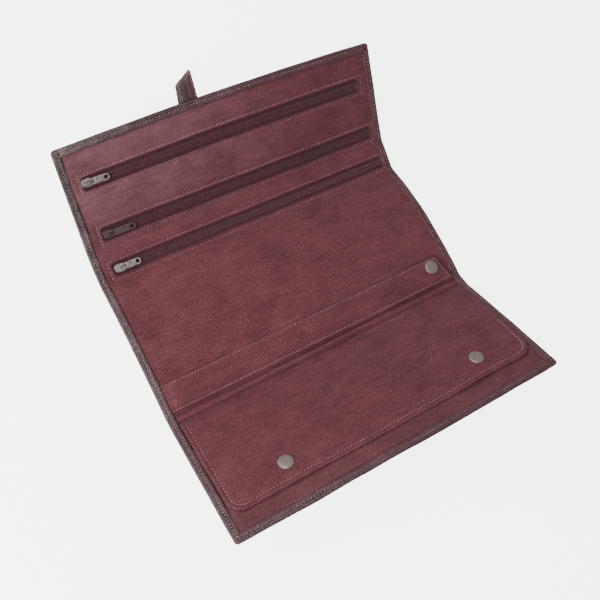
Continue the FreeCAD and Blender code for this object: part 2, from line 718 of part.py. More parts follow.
def make_stud(name, where):
    """A flange with a knob that the socket clips over; it stands on the place's origin."""
    body = new_body(name, where)
    half = new_sketch(body, name + "_profile", "XZ_Plane")
    flange, top = "stud_flange_thickness", "stud_flange_thickness + stud_knob_height"
    polygon(half, [("0", "0"), ("stud_flange_diameter / 2", "0"), ("stud_flange_diameter / 2", flange),
                   ("stud_knob_diameter / 2", flange), ("stud_knob_diameter / 2", top), ("0", top)])
    revolve(body, name + "_turned", half)


def snap_hole(x, y):
    """A function that cuts the hole for a cap's barrel."""
    return lambda sketch: circle(sketch, x, y, "barrel_diameter + barrel_clearance")


# The flap and the pocket panel

FLAP_SNAP_Y = "-(flap_length - flap_snap_inset)"
FLAP_FACE_LOW = "(lining_thickness + layer_gap)"
FLAP_FACE_TOP = "(lining_thickness + cover_thickness + layer_gap)"


def make_flap():
    holes = (snap_hole("-(panel_width / 2 - flap_snap_left_inset)", FLAP_SNAP_Y),
             snap_hole("panel_width / 2 - flap_snap_right_inset", FLAP_SNAP_Y))
    corners = oblong("-" + FLAP_LEFT, "-flap_length", FLAP_RIGHT, "0")
    for name, low, high in (("flap_back", "0", "lining_thickness"),
                            ("flap_face", FLAP_FACE_LOW, FLAP_FACE_TOP)):
        layer = plate(name, flap_place, low, high, corners, holes)
        half = size("flap_length") / 2
        beside_snap = from_middle("flap_snap_right_inset") + size("cap_diameter")
        fillet(layer, name + "_corners", "flap_corner_radius",
               upright_beyond(y=-half, half_width=beside_snap))
    plate("pocket_lower", lower_panel_place, LIP_LOW, "(layer_gap + lining_thickness)",
          oblong("-%s + pocket_side_gap" % WINDOW_HALF,
                 "-lower_panel_length + turned_edge_width + pocket_side_gap",
                 "%s - pocket_side_gap" % WINDOW_HALF, "-pocket_top_inset"))
    face_top = size("lining_thickness") + size("cover_thickness") + size("layer_gap")
    for side, x in (("left", -from_middle("flap_snap_left_inset")),
                    ("right", from_middle("flap_snap_right_inset"))):
        make_cap("flap_cap_" + side, flap_place * place(x, -flap_snap_reach, face_top), FLAP_FACE_TOP)
        make_socket("flap_socket_" + side, flap_place * place(x, -flap_snap_reach, 0))
        stud_y = -size("flap_root_gap") - flap_snap_reach * math.cos(math.radians(flap_tilt))
        make_stud("flap_stud_" + side, lower_panel_place * place(x, stud_y, pocket_top))


# The ring strap

RING_CORE_LOW = "(ring_strap_thickness + layer_gap)"
RING_FACE_LOW = "(ring_strap_thickness + ring_core_thickness + 2 * layer_gap)"
RING_FACE_TOP = "(2 * ring_strap_thickness + ring_core_thickness + 2 * layer_gap)"
RING_LENGTH = "(%s + %s)" % (RING_LEFT, RING_RIGHT)
RING_SNAP_X = "(%s + panel_width / 2 - ring_snap_inset)" % RING_LEFT


def make_ring_strap():
    half = "ring_strap_width / 2"
    hole = snap_hole(RING_SNAP_X, "ring_snap_offset")
    outline = [("0", "-" + half), (RING_LENGTH, "-" + half),
               (RING_LENGTH + " - ring_slant_length", half), ("0", half)]
    plate("ring_strap_back", ring_place, "0", "ring_strap_thickness", outline, (hole,))
    core_end = "%s - cap_diameter / 2 - ring_core_margin" % RING_SNAP_X
    plate("ring_strap_core", ring_place, RING_CORE_LOW, RING_CORE_LOW + " + ring_core_thickness",
          oblong("ring_core_margin", "-%s + ring_core_margin" % half,
                 core_end, half + " - ring_core_margin"))
    plate("ring_strap_face", ring_place, RING_FACE_LOW, RING_FACE_TOP, outline, (hole,))
    top = 2 * size("ring_strap_thickness") + size("ring_core_thickness") + 2 * size("layer_gap")
    make_cap("ring_cap", ring_place * place(ring_span, size("ring_snap_offset"), top), RING_FACE_TOP)
    make_socket("ring_socket", ring_place * place(ring_span, size("ring_snap_offset"), 0))
    make_stud("ring_stud", ring_seat_place
              * place(from_middle("ring_snap_inset"), size("ring_snap_offset"), 0))


# The closure strap
# It is sewn flat on the back, folds back over the edge and hangs. Shut, it comes over the edge to
# the stud on the lower fold.

def make_closure_strap():
    half = "strap_width / 2"
    thick = "strap_thickness"
    anchor_place = upper_panel_place * place(strap_x, 0, strap_low)
    edge = "upper_panel_length + strap_hinge_reach - strap_hinge_gap"
    plate("strap_anchor", anchor_place, "0", thick,
          oblong("-" + half, "upper_panel_length - strap_anchor_length", half, edge))
    plate("strap_root", strap_place, "0", thick,
          oblong("-" + half, "strap_hinge_gap", half, "strap_bend_reach - " + GAP_HALF))
    plate("strap_hang", bend_place, "0", thick,
          oblong("-" + half, GAP_HALF, half, "strap_corner_reach - strap_bend_reach - " + GAP_HALF))
    tip = plate("strap_tip", tip_place, "0", thick,
                oblong("-" + half, GAP_HALF, half, "strap_tip_length"),
                (snap_hole("0", "strap_snap_reach"),))
    fillet(tip, "strap_tip_round", "strap_tip_radius", upright_beyond(y=size("strap_snap_reach")))
    back = place(0, 0, 0, ALONG, 180)
    make_cap("closure_cap", tip_place * place(0, size("strap_snap_reach"), 0) * back, "strap_thickness")
    make_socket("closure_socket",
                tip_place * place(0, size("strap_snap_reach"), size("strap_thickness")) * back)
    make_stud("closure_stud", lower_fold_place
              * place(strap_x, -size("closure_snap_inset"), -stack_depth()) * back)


make_middle()
make_lower()
make_upper()
for zip_name in ZIPS:
    make_zip(zip_name)
    make_slider(zip_name)
make_flap()
make_ring_strap()
make_closure_strap()
document.recompute()

# Check and write every piece

os.makedirs("parts", exist_ok=True)
for item in document.Objects:
    if "Invalid" in item.State or "Error" in item.State:
        raise RuntimeError("%s did not rebuild: %s" % (item.Name, item.State))
pieces = [item for item in document.Objects if item.TypeId in ("PartDesign::Body", "Part::Feature")]
for item in pieces:
    if item.Shape.isNull() or not item.Shape.isValid() or not item.Shape.Solids:
        raise RuntimeError("%s has no valid solid" % item.Label)
    item.Shape.exportStep("parts/%s.step" % item.Label)
print("%d pieces" % len(pieces))
for name, hinge in (("a", hinge_a), ("b", hinge_b), ("c", hinge_c), ("d", hinge_d)):
    print("hinge %s at y %.3f, z %.3f" % (name, hinge[0], hinge[1]))
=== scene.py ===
# %% [markdown]
# # A jewelry roll, half open
# The roll is one padded sheet of leather with a suede lining. It folds in three over three zipped
# pockets, a wide snapped flap and a snapped ring strap, and a short strap on its back shuts it.
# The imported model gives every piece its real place. This lesson builds the looks around it:
# thin leather sheets, turned edges, stitches, zips, snaps and straps.

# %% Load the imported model
import json
import math
import bmesh
import bpy
import numpy as np
from mathutils import Matrix, Vector


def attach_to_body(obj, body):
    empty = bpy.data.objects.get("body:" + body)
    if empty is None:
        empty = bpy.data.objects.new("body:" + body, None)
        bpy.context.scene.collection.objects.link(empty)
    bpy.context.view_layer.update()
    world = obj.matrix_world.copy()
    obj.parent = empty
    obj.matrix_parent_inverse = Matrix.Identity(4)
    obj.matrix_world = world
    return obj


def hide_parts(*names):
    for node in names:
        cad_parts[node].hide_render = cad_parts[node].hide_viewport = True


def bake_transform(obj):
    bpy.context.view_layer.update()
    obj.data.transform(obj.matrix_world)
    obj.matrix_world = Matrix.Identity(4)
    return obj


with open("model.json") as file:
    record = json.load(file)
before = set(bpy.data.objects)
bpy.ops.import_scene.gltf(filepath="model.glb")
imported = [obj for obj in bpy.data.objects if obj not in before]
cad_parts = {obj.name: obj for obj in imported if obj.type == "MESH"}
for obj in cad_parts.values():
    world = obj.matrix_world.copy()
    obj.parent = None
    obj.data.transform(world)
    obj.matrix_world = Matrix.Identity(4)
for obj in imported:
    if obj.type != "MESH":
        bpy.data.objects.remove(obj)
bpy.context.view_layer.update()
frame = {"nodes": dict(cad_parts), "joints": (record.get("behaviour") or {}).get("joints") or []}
scene = bpy.context.scene
joints = {joint["name"]: joint for joint in frame["joints"]}
MM = 0.001

# %% [markdown]
# ## The camera
# The photograph was taken from above the roll's left end, at an arm's length. The camera could
# be placed by its angles alone, but a place, a point that it looks at and a roll about its own
# axis are easier to read and to correct, so these three are used.

# %% Place the camera
CAMERA_PLACE = Vector((-157.4, -124.1, 443.4)) * MM
CAMERA_TARGET = Vector((-0.1, -15.1, 0.0)) * MM
CAMERA_ROLL = math.radians(28.07)
LENS_LENGTH, SENSOR_WIDTH = 41.77, 36.0


def aimed(place, target):
    """The matrix of a camera or a light that stands at one place and looks at another."""
    return Matrix.Translation(place) @ (target - place).to_track_quat("-Z", "Y").to_matrix().to_4x4()


def place_camera():
    data = bpy.data.cameras.new("photo_camera")
    data.lens, data.sensor_width = LENS_LENGTH, SENSOR_WIDTH
    camera = bpy.data.objects.new("photo_camera", data)
    camera.matrix_world = aimed(CAMERA_PLACE, CAMERA_TARGET) @ Matrix.Rotation(CAMERA_ROLL, 4, "Z")
    scene.collection.objects.link(camera)
    scene.camera = camera


place_camera()
print("the camera looks down from %.0f mm above the floor" % (CAMERA_PLACE.z / MM))

# %% [markdown]
# ## The roll as flat leather
# Every sheet of the roll was cut flat and then bent, so every place on it is given as on the
# cutting table: u across from the middle, v along from the lower edge. One function bends these
# flat places on to the standing roll. The alternative, modelling each sheet in the air, would
# let the layers drift apart. Each panel's straight run and the arched middle are worked out from
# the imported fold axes, and neighbours are mixed smoothly over each crease.

# %% Bend the flat sheet
HALF_WIDTH, TOP_EDGE = 117.5 * MM, 289.0 * MM
CREASES = {"lower": 88.0 * MM, "near": 97.5 * MM, "far": 195.5 * MM, "upper": 216.5 * MM}
CREASE_HALF = {"lower": 4.5 * MM, "near": 4.7 * MM, "far": 4.5 * MM, "upper": 6.5 * MM}
MIDDLE = (CREASES["near"] + CREASES["far"]) / 2
ARCH_HALF_ANGLE = math.radians(12)
AXIS_LIFT = 1.2 * MM
PROFILE_STEP, PROFILE_MARGIN = 0.25 * MM, 3 * MM


def axis_of(name):
    """A fold's axis, seen from the side, as (y, z)."""
    return np.array(joints[name]["pos_m"][1:])


def smooth(share):
    """0 below a share of 0, 1 above 1, and a soft slope in between."""
    share = np.clip(share, 0, 1)
    return share * share * (3 - 2 * share)


def bell(gap, width, power=2):
    """1 where the gap is nought, falling off softly over the width."""
    return np.exp(-(gap / width) ** power)


def straight_run(v, axis, axis_v, tilt):
    """A flat panel's lining, a little under the axis of its fold."""
    along = np.array([math.cos(tilt), math.sin(tilt)])
    up = np.array([-math.sin(tilt), math.cos(tilt)])
    return axis - AXIS_LIFT * up + (v - axis_v)[:, None] * along


def arched_run(v):
    """The middle panel's lining, on a round arch between its two folds."""
    near, far = axis_of("lower_fold_bend"), axis_of("upper_fold_bend")
    radius = (far - near)[0] / 2 / math.sin(ARCH_HALF_ANGLE)
    centre = near[1] - radius * math.cos(ARCH_HALF_ANGLE)
    turn = (v - MIDDLE) / radius
    reach = radius - AXIS_LIFT
    return np.stack([reach * np.sin(turn), centre + reach * np.cos(turn)], axis=1)


def roll_profile():
    """The lining's line seen from the side, and its slope, for every v."""
    v = np.arange(-PROFILE_MARGIN, TOP_EDGE + PROFILE_MARGIN, PROFILE_STEP)
    low_outer, low_inner = axis_of("lower_panel_bend"), axis_of("lower_fold_bend")
    top_inner, top_outer = axis_of("upper_fold_bend"), axis_of("upper_panel_bend")
    low_tilt = math.atan2(*(low_inner - low_outer)[::-1])
    top_tilt = math.atan2(*(top_outer - top_inner)[::-1])
    line = straight_run(v, low_outer, CREASES["lower"], 2 * low_tilt)
    following = {"lower": straight_run(v, low_inner, CREASES["near"], low_tilt), "near": arched_run(v),
                 "far": straight_run(v, top_inner, CREASES["far"], top_tilt),
                 "upper": straight_run(v, top_outer, CREASES["upper"], 2 * top_tilt)}
    for name, run in following.items():
        share = smooth((v - CREASES[name] + CREASE_HALF[name]) / (2 * CREASE_HALF[name]))[:, None]
        line = line * (1 - share) + run * share
    slope = np.unwrap(np.arctan2(np.gradient(line[:, 1]), np.gradient(line[:, 0])))
    return v, line[:, 0], line[:, 1], slope


PROFILE_V, PROFILE_Y, PROFILE_Z, PROFILE_SLOPE = roll_profile()
print("the lining's crest is %.1f mm high" % (np.interp(MIDDLE, PROFILE_V, PROFILE_Z) / MM))

# %% [markdown]
# ## Leather is never quite flat
# Real leather sheets are a little wavy. A modelled cloth simulation could give that, but the
# waves must be the same in every layer, so that stitches and edges stay on the lining. A sum of
# a few long sine waves in random directions is the same for all of them. The long edges bow a
# little, and the top left corner is drawn in by a few millimetres, as on the real roll.

# %% Let the sheet wave
WAVE_COUNT, WAVE_LENGTHS, WAVE_HEIGHT = 16, (38 * MM, 130 * MM), 0.16 * MM
DRAWN_IN, DRAWN_FROM = 2.8 * MM, 205 * MM
TOP_BOW, LOW_BOW = (1.0 * MM, -1.9 * MM, 0.25), (-0.8 * MM, 0.92 * MM, 0.4)
TOP_BOW_FROM, LOW_BOW_TO = 230 * MM, 40 * MM


def make_waves(seed):
    dice = np.random.default_rng(seed)
    lengths = dice.uniform(*WAVE_LENGTHS, WAVE_COUNT)
    turns = dice.uniform(0, 2 * math.pi, WAVE_COUNT)
    phases = dice.uniform(0, 2 * math.pi, WAVE_COUNT)
    return lengths, turns, phases


LEATHER_WAVES = make_waves(11)


def wave_height(u, v, waves=LEATHER_WAVES, height=WAVE_HEIGHT):
    total = np.zeros(np.broadcast(u, v).shape)
    for length, turn, phase in zip(*waves):
        along = u * math.cos(turn) + v * math.sin(turn)
        total += height * (length / WAVE_LENGTHS[1]) * np.sin(2 * math.pi * along / length + phase)
    return total


def bowed(u, v):
    """The long edges aren't quite straight: v moves a little near them."""
    top, low = (base + depth * (u / HALF_WIDTH - middle) ** 2 for base, depth, middle in (TOP_BOW, LOW_BOW))
    return (v + top * smooth((v - TOP_BOW_FROM) / (TOP_EDGE - TOP_BOW_FROM))
            + low * smooth((LOW_BOW_TO - v) / LOW_BOW_TO))


def on_roll(u, v, lift=0.0):
    """Bend flat places on to the roll; lift is the height above the lining's face."""
    u, v, lift = np.broadcast_arrays(np.asarray(u, float), v, lift)
    v = bowed(u, v)
    y, z, slope = (np.interp(v, PROFILE_V, line) for line in (PROFILE_Y, PROFILE_Z, PROFILE_SLOPE))
    rise = lift + wave_height(u, v)
    up = np.clip((v - DRAWN_FROM) / (TOP_EDGE - DRAWN_FROM), 0, 1)
    drawn = DRAWN_IN * up * np.clip(-u / HALF_WIDTH, 0, 1.1) ** 2
    return np.stack([u + drawn, y - rise * np.sin(slope), z + rise * np.cos(slope)], axis=-1)


print("a wave lifts the middle by %.2f mm" % (float(wave_height(0.0, MIDDLE)) / MM))

# %% [markdown]
# ## Lengths of the sheet
# The cover and the lining cross four creases, and each crease is a joint. A piece can bend over
# one joint only, so the long sheets are cut where nothing bends: in the middle of each fold and
# at the crest of the arch. Each length is listed with the two bodies on either side of its crease.

# %% Name the four lengths of the sheet
LENGTHS = {"lower": {"low": 0.0, "high": 92.75 * MM, "bodies": ("lower_panel", "lower_fold")},
           "near": {"low": 92.75 * MM, "high": MIDDLE, "bodies": ("lower_fold", "root")},
           "far": {"low": MIDDLE, "high": 209.3 * MM, "bodies": ("root", "upper_fold")},
           "upper": {"low": 209.3 * MM, "high": TOP_EDGE, "bodies": ("upper_fold", "upper_panel")}}


def bend_between(obj, bodies, start, end):
    """Bake a piece's place into its mesh."""
    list(bodies)
    tuple(start)
    tuple(end)
    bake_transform(obj)
    return obj


def bend_with(obj, length):
    """Hand a piece and the places round its length's crease to bend_between."""
    crease, half = CREASES[length], CREASE_HALF[length]
    return bend_between(obj, LENGTHS[length]["bodies"],
                        on_roll(0.0, crease - half), on_roll(0.0, crease + half))


print("lengths of the sheet:", ", ".join(LENGTHS))

# %% [markdown]
# ## Meshes from the cutting table
# Every piece below is made of grids of points. Subdividing a plane would give even squares, but
# seams need close lines beside them and wide spaces between. So the grid lines are chosen first,
# and each mesh keeps its flat places as its texture map, which lets nap and grain run on evenly.

# %% Make meshes from grids
FINE_REACH, FINE_STEP = 2.4 * MM, 0.6 * MM
FINE_MERGE, MERGE = 0.01 * MM, 0.02 * MM


def add_mesh(name, points, faces, material=None, slot=None, flat=None, merge=None):
    """Make a smooth mesh object; flat gives each point's place on the cutting table."""
    mesh = bpy.data.meshes.new(name)
    mesh.from_pydata(np.asarray(points).reshape(-1, 3).tolist(), [], [tuple(face) for face in faces])
    mesh.polygons.foreach_set("use_smooth", [True] * len(mesh.polygons))
    if flat is not None:
        layer = mesh.uv_layers.new(name="flat")
        corners = np.empty(len(mesh.loops), int)
        mesh.loops.foreach_get("vertex_index", corners)
        layer.uv.foreach_set("vector", np.asarray(flat).reshape(-1, 2)[corners].ravel())
    if merge:
        join_points(mesh, merge)
    obj = bpy.data.objects.new(name, mesh)
    scene.collection.objects.link(obj)
    if material:
        mesh.materials.append(material)
    return obj


def join_points(mesh, distance):
    """Join points that fall together, such as those of a mitred corner."""
    shape = bmesh.new()
    shape.from_mesh(mesh)
    bmesh.ops.remove_doubles(shape, verts=shape.verts, dist=distance)
    bmesh.ops.dissolve_degenerate(shape, dist=distance, edges=shape.edges)
    shape.to_mesh(mesh)
    shape.free()


def grid_faces(rows, columns, keep=None, start=0):
    """The faces of a grid of points, row by row; keep leaves cells out."""
    row, column = np.meshgrid(np.arange(rows - 1), np.arange(columns - 1), indexing="ij")
    first = start + row * columns + column
    faces = np.stack([first, first + 1, first + columns + 1, first + columns], axis=-1).reshape(-1, 4)
    return faces if keep is None else faces[keep.ravel()]


def add_grid(name, u, v, lift, material, slot, keep=None, face_down=False):
    """A sheet on grid lines of the cutting table; lift gives its height above the lining."""
    across, along = np.meshgrid(u, v)
    faces = grid_faces(len(v), len(u), keep)
    faces = faces[:, ::-1] if face_down else faces
    return add_mesh(name, on_roll(across, along, lift(across, along)), faces, material, slot,
                    np.stack([across, along], -1))


def lines(low, high, step, fine):
    """Grid lines between two places, closer together beside each fine place."""
    wanted = list(np.linspace(low, high, max(2, int(round((high - low) / step)) + 1)))
    for place in fine:
        wanted += list(place + np.arange(-FINE_REACH, FINE_REACH + FINE_STEP / 2, FINE_STEP))
    kept = [place for place in {low, high, *fine} if low <= place <= high]
    for place in sorted(wanted):
        if low <= place <= high and min(abs(place - other) for other in kept) > 0.7 * FINE_STEP:
            kept.append(place)
    return np.array(sorted(kept))


print("grid lines stand as close as %.1f mm" % (FINE_STEP / MM))

# %% [markdown]
# ## Shared effects for the finishes
# Suede shows soft patches, brushed streaks and short fibres. Grained leather shows small pebbles
# with creases between them. Threads, tapes and lacquer have their own small marks. Image
# textures could hold these, but procedural nodes keep them sharp at any size. Each effect that
# more than one finish uses is a node group with named inputs, and it puts out plain masks and
# heights, so that the shader itself stays in the material.

# %% Helpers for shader nodes
def colour(red, green, blue):
    """A shader colour from the three numbers, 0 to 255, that a picture program shows."""
    shares = [part / 255 for part in (red, green, blue)]
    linear = [part / 12.92 if part <= 0.04045 else ((part + 0.055) / 1.055) ** 2.4 for part in shares]
    return (*linear, 1.0)


def add_node(tree, kind, inputs=None, **settings):
    """Add a shader node; its inputs are set to numbers or joined to other nodes' outputs."""
    node = tree.nodes.new("ShaderNode" + kind)
    for name, value in settings.items():
        setattr(node, name, value)
    for name, value in (inputs or {}).items():
        if isinstance(value, bpy.types.NodeSocket):
            tree.links.new(value, node.inputs[name])
        else:
            node.inputs[name].default_value = value
    return node


def math_node(tree, operation, first, second=0.0):
    return add_node(tree, "Math", {0: first, 1: second}, operation=operation).outputs[0]


def times(tree, first, second):
    return math_node(tree, "MULTIPLY", first, second)


def plus(tree, first, second):
    return math_node(tree, "ADD", first, second)


def minus(tree, first, second):
    return math_node(tree, "SUBTRACT", first, second)


def stretch_range(tree, value, low, high, to_low=0.0, to_high=1.0):
    inputs = {"Value": value, "From Min": low, "From Max": high, "To Min": to_low, "To Max": to_high}
    return add_node(tree, "MapRange", inputs).outputs[0]


def mix_colours(tree, share, first, second, blend="MIX"):
    node = add_node(tree, "Mix", {0: share, 6: first, 7: second}, data_type="RGBA", blend_type=blend)
    return node.outputs[2]


def noise(tree, vector, scale, detail=3.0, roughness=0.55, distortion=0.0):
    return add_node(tree, "TexNoise", {"Vector": vector, "Scale": scale, "Detail": detail,
                                       "Roughness": roughness, "Distortion": distortion}).outputs[0]


def new_group(name, inputs, outputs):
    """Start a node group with a vector and named numbers in, and named numbers out."""
    group = bpy.data.node_groups.new(name, "ShaderNodeTree")
    group.interface.new_socket("Vector", in_out="INPUT", socket_type="NodeSocketVector")
    for label, value in inputs.items():
        socket = group.interface.new_socket(label, in_out="INPUT", socket_type="NodeSocketFloat")
        socket.default_value = value
    for label in outputs:
        group.interface.new_socket(label, in_out="OUTPUT", socket_type="NodeSocketFloat")
    return group, group.nodes.new("NodeGroupInput").outputs


def put_out(group, **values):
    """Join the named results to the group's outputs."""
    result = group.nodes.new("NodeGroupOutput")
    for name, value in values.items():
        group.links.new(value, result.inputs[name])
    return group


# %% [markdown]
# ### Suede nap
# Suede is brushed leather: its fibres lie in patches that catch the light differently. Four
# sizes of noise give it: patches the size of a thumb, streaks along the brushing, mottles of a
# few millimetres and fibres under a millimetre. A few specks of pale dust sit in it.

# %% Build the suede nap group
def make_nap_group():
    group, given = new_group(
        "Suede nap", {"Patch Scale": 34.0, "Streak Scale": 170.0, "Mottle Scale": 480.0,
                      "Fibre Scale": 1150.0}, ("Tone", "Fibre", "Specks", "Height"))
    vector = given["Vector"]
    patches = noise(group, vector, given["Patch Scale"], 3.0, 0.6, 0.6)
    brushed = add_node(group, "Mapping", {"Vector": vector, "Rotation": (0, 0, 0.35),
                                          "Scale": (0.35, 1.0, 1.0)}).outputs[0]
    streaks = noise(group, brushed, given["Streak Scale"], 5.0, 0.65, 0.3)
    fibres = noise(group, vector, given["Fibre Scale"], 3.0, 0.7)
    mottles = noise(group, vector, given["Mottle Scale"], 4.0, 0.7, 0.4)
    tone = plus(group, times(group, patches, 0.3),
                plus(group, times(group, streaks, 0.35), times(group, mottles, 0.35)))
    cells = add_node(group, "TexVoronoi", {"Vector": vector, "Scale": 330.0}, feature="F1")
    lucky = math_node(group, "GREATER_THAN", cells.outputs["Color"], 0.7)
    near = stretch_range(group, cells.outputs["Distance"], 0.03, 0.1, 1.0, 0.0)
    return put_out(group, Tone=stretch_range(group, tone, 0.32, 0.68), Fibre=fibres,
                   Specks=times(group, lucky, near),
                   Height=plus(group, times(group, fibres, 0.7), times(group, streaks, 0.5)))


NAP = make_nap_group()
print(NAP.name, "has", len(NAP.nodes), "nodes")

# %% [markdown]
# ### Leather grain
# The cover's grain is a field of small rounded pebbles. Voronoi cells give the pebbles and the
# creases between them, a slow noise makes some stretches smoother, and the wear mask is high
# on the tops of the pebbles, which the leathers grey partly as rubbing and partly as a painted
# highlight where the light falls.

# %% Build the leather grain group
def make_grain_group():
    group, given = new_group("Leather grain", {"Pebble Scale": 900.0, "Wear": 0.5},
                             ("Crease", "Worn", "Height"))
    vector = given["Vector"]
    bent = times(group, noise(group, vector, 420.0, 2.0), 0.0006)
    offset = add_node(group, "VectorMath", {0: vector, 1: bent}, operation="ADD").outputs[0]
    cells = add_node(group, "TexVoronoi", {"Vector": offset, "Scale": given["Pebble Scale"]},
                     feature="DISTANCE_TO_EDGE").outputs["Distance"]
    pebble = stretch_range(group, cells, 0.0, 0.28)
    wrinkle = noise(group, vector, 260.0, 4.0, 0.6)
    patchy = stretch_range(group, noise(group, vector, 60.0, 3.0), 0.35, 0.7)
    return put_out(group, Crease=stretch_range(group, cells, 0.0, 0.1, 1.0, 0.0),
                   Worn=times(group, times(group, pebble, given["Wear"]), patchy),
                   Height=plus(group, pebble, times(group, wrinkle, 0.8)))


GRAIN = make_grain_group()
print(GRAIN.name, "has", len(GRAIN.nodes), "nodes")

# %% [markdown]
# ### Weave and speckle
# Zip tape and pocket cloth are woven: two sine waves at right angles give the over and under of
# the threads. Metal, lacquer and coated leather have fine marks from use, which are one noise
# group with a large and a small part.

# %% Build the weave and speckle groups
def make_weave_group():
    group, given = new_group("Weave", {"Threads": 2200.0, "Slant": 0.0}, ("Thread", "Height"))
    turned = add_node(group, "VectorRotate", {"Vector": given["Vector"], "Angle": given["Slant"]},
                      rotation_type="Z_AXIS").outputs[0]
    parts = add_node(group, "SeparateXYZ", {0: turned}).outputs
    over, under = (math_node(group, "SINE", times(group, parts[axis], given["Threads"])) for axis in "XY")
    height = stretch_range(group, times(group, over, under), -1.0, 1.0)
    worn = noise(group, given["Vector"], 700.0, 2.0)
    return put_out(group, Thread=times(group, height, worn), Height=height)


def make_speckle_group():
    group, given = new_group("Speckle", {"Fine Scale": 2500.0, "Broad Scale": 140.0},
                             ("Fine", "Broad", "Height"))
    fine, broad = (noise(group, given["Vector"], given[size], 3.0, 0.6)
                   for size in ("Fine Scale", "Broad Scale"))
    return put_out(group, Fine=fine, Broad=stretch_range(group, broad, 0.3, 0.7),
                   Height=plus(group, fine, broad))


WEAVE = make_weave_group()
SPECKLE = make_speckle_group()
print("effects:", ", ".join(group.name for group in (NAP, GRAIN, WEAVE, SPECKLE)))

# %% [markdown]
# ## The finishes
# Each finish is one material. It reads its place on the cutting table, places the effect groups
# with its own values, and mixes its colours by their masks. Painted shade and highlights, and a
# few of the leather's own marks, are tied to places on the roll. Vertex colours could hold such
# marks, but ramps and bands between two places stay sharp and are easy to move.

# %% Start and finish a material
def start_material(name, flat=True, **constants):
    """A material with its shader's constants, its tree, and the vector that its effects read."""
    material = bpy.data.materials.new(name)
    material.use_nodes = True
    tree = material.node_tree
    for socket, value in constants.items():
        tree.nodes["Principled BSDF"].inputs[socket.replace("_", " ")].default_value = value
    if flat:
        return material, tree, add_node(tree, "UVMap", uv_map="flat").outputs[0]
    return material, tree, add_node(tree, "TexCoord").outputs["Object"]


def finish_material(material, base, height, strength, distance, roughness=None):
    """Join the colour, the bump and, where it varies, the roughness to the shader."""
    tree = material.node_tree
    shader = tree.nodes["Principled BSDF"]
    tree.links.new(base, shader.inputs["Base Color"])
    if roughness is not None:
        tree.links.new(roughness, shader.inputs["Roughness"])
    bump = add_node(tree, "Bump", {"Height": height, "Strength": strength, "Distance": distance})
    tree.links.new(bump.outputs[0], shader.inputs["Normal"])
    return material


def place_group(tree, group, vector, **values):
    node = tree.nodes.new("ShaderNodeGroup")
    node.node_tree = group
    tree.links.new(vector, node.inputs["Vector"])
    for name, value in values.items():
        node.inputs[name.replace("_", " ")].default_value = value
    return node.outputs


def shaded(tree, base, tone):
    """A colour made darker or lighter by one number."""
    grey = add_node(tree, "CombineColor", {0: tone, 1: tone, 2: tone}).outputs[0]
    return mix_colours(tree, 1.0, base, grey, "MULTIPLY")


def ramp_along(tree, vector, axis, low, high):
    """0 before low, 1 after high, along one axis of a vector."""
    return stretch_range(tree, add_node(tree, "SeparateXYZ", {0: vector}).outputs[axis], low, high)


def band_along(tree, vector, axis, rise, fall):
    """A band along one axis of a vector, with a soft start and a soft end."""
    return minus(tree, ramp_along(tree, vector, axis, *rise), ramp_along(tree, vector, axis, *fall))


# %% [markdown]
# ### Suede
# The suede is burgundy, with its nap's patches a little lighter and darker. Painted shade darkens it
# in two lines in the creases along the lower fold, and a painted sheen makes it paler and greyer
# towards the upper left corner, where the light catches the nap. A plain colour with more roughness
# would look like felt, so the sheen of the fibres' tips is kept.

# %% Make the suede
CREASE_SHADE = ((91.2 * MM, 1.3 * MM), (95.9 * MM, 1.5 * MM))
SHEEN_UP, SHEEN_ACROSS = (205 * MM, 255 * MM), (-100 * MM, 60 * MM)


def suede(name, dark, light, speck):
    material, tree, vector = start_material(
        name, Sheen_Weight=0.16, Sheen_Roughness=0.5, Sheen_Tint=colour(196, 164, 168),
        Specular_IOR_Level=0.12)
    nap = place_group(tree, NAP, vector)
    base = shaded(tree, mix_colours(tree, nap["Tone"], dark, light),
                  stretch_range(tree, nap["Fibre"], 0.32, 0.68, 0.48, 1.5))
    base = mix_colours(tree, times(tree, nap["Specks"], 0.7), base, speck)
    # Painted shade: two dark bands in the creases along the lower fold.
    for middle, half in CREASE_SHADE:
        fold = band_along(tree, vector, "Y", (middle - half, middle), (middle, middle + half))
        base = mix_colours(tree, times(tree, fold, 0.6), base, colour(40, 17, 22))
    # Painted sheen: paler and greyer towards the upper left, where the light catches the nap.
    paler = times(tree, ramp_along(tree, vector, "Y", *SHEEN_UP),
                  minus(tree, 1.0, ramp_along(tree, vector, "X", *SHEEN_ACROSS)))
    paler = times(tree, paler, stretch_range(tree, nap["Tone"], 0.1, 0.9, 0.14, 0.56))
    base = mix_colours(tree, paler, base, colour(128, 92, 98))
    rough = stretch_range(tree, nap["Tone"], 0.0, 1.0, 0.96, 0.82)
    return finish_material(material, base, nap["Height"], 0.55, 0.35 * MM, rough)


SUEDE = suede("burgundy_suede", colour(64, 31, 36), colour(100, 56, 63), colour(176, 134, 138))
POCKET_SUEDE = suede("pocket_suede", colour(62, 32, 36), colour(98, 58, 63), colour(166, 126, 128))
print("suedes:", SUEDE.name, "and", POCKET_SUEDE.name)

# %% [markdown]
# ### Grained leather
# The leather is wine red on the right, away from the light, and greyed on the left by a painted
# highlight of the light from that side, with a little rubbing on its pebbles. Three leathers share
# this: the cover, the border with its nearly black edge, partly dye and partly painted shade, and
# the strap with its dark middle seam. Three separate materials would drift apart in tone, so one
# function makes them all, and a small extra paints what only one of them has.

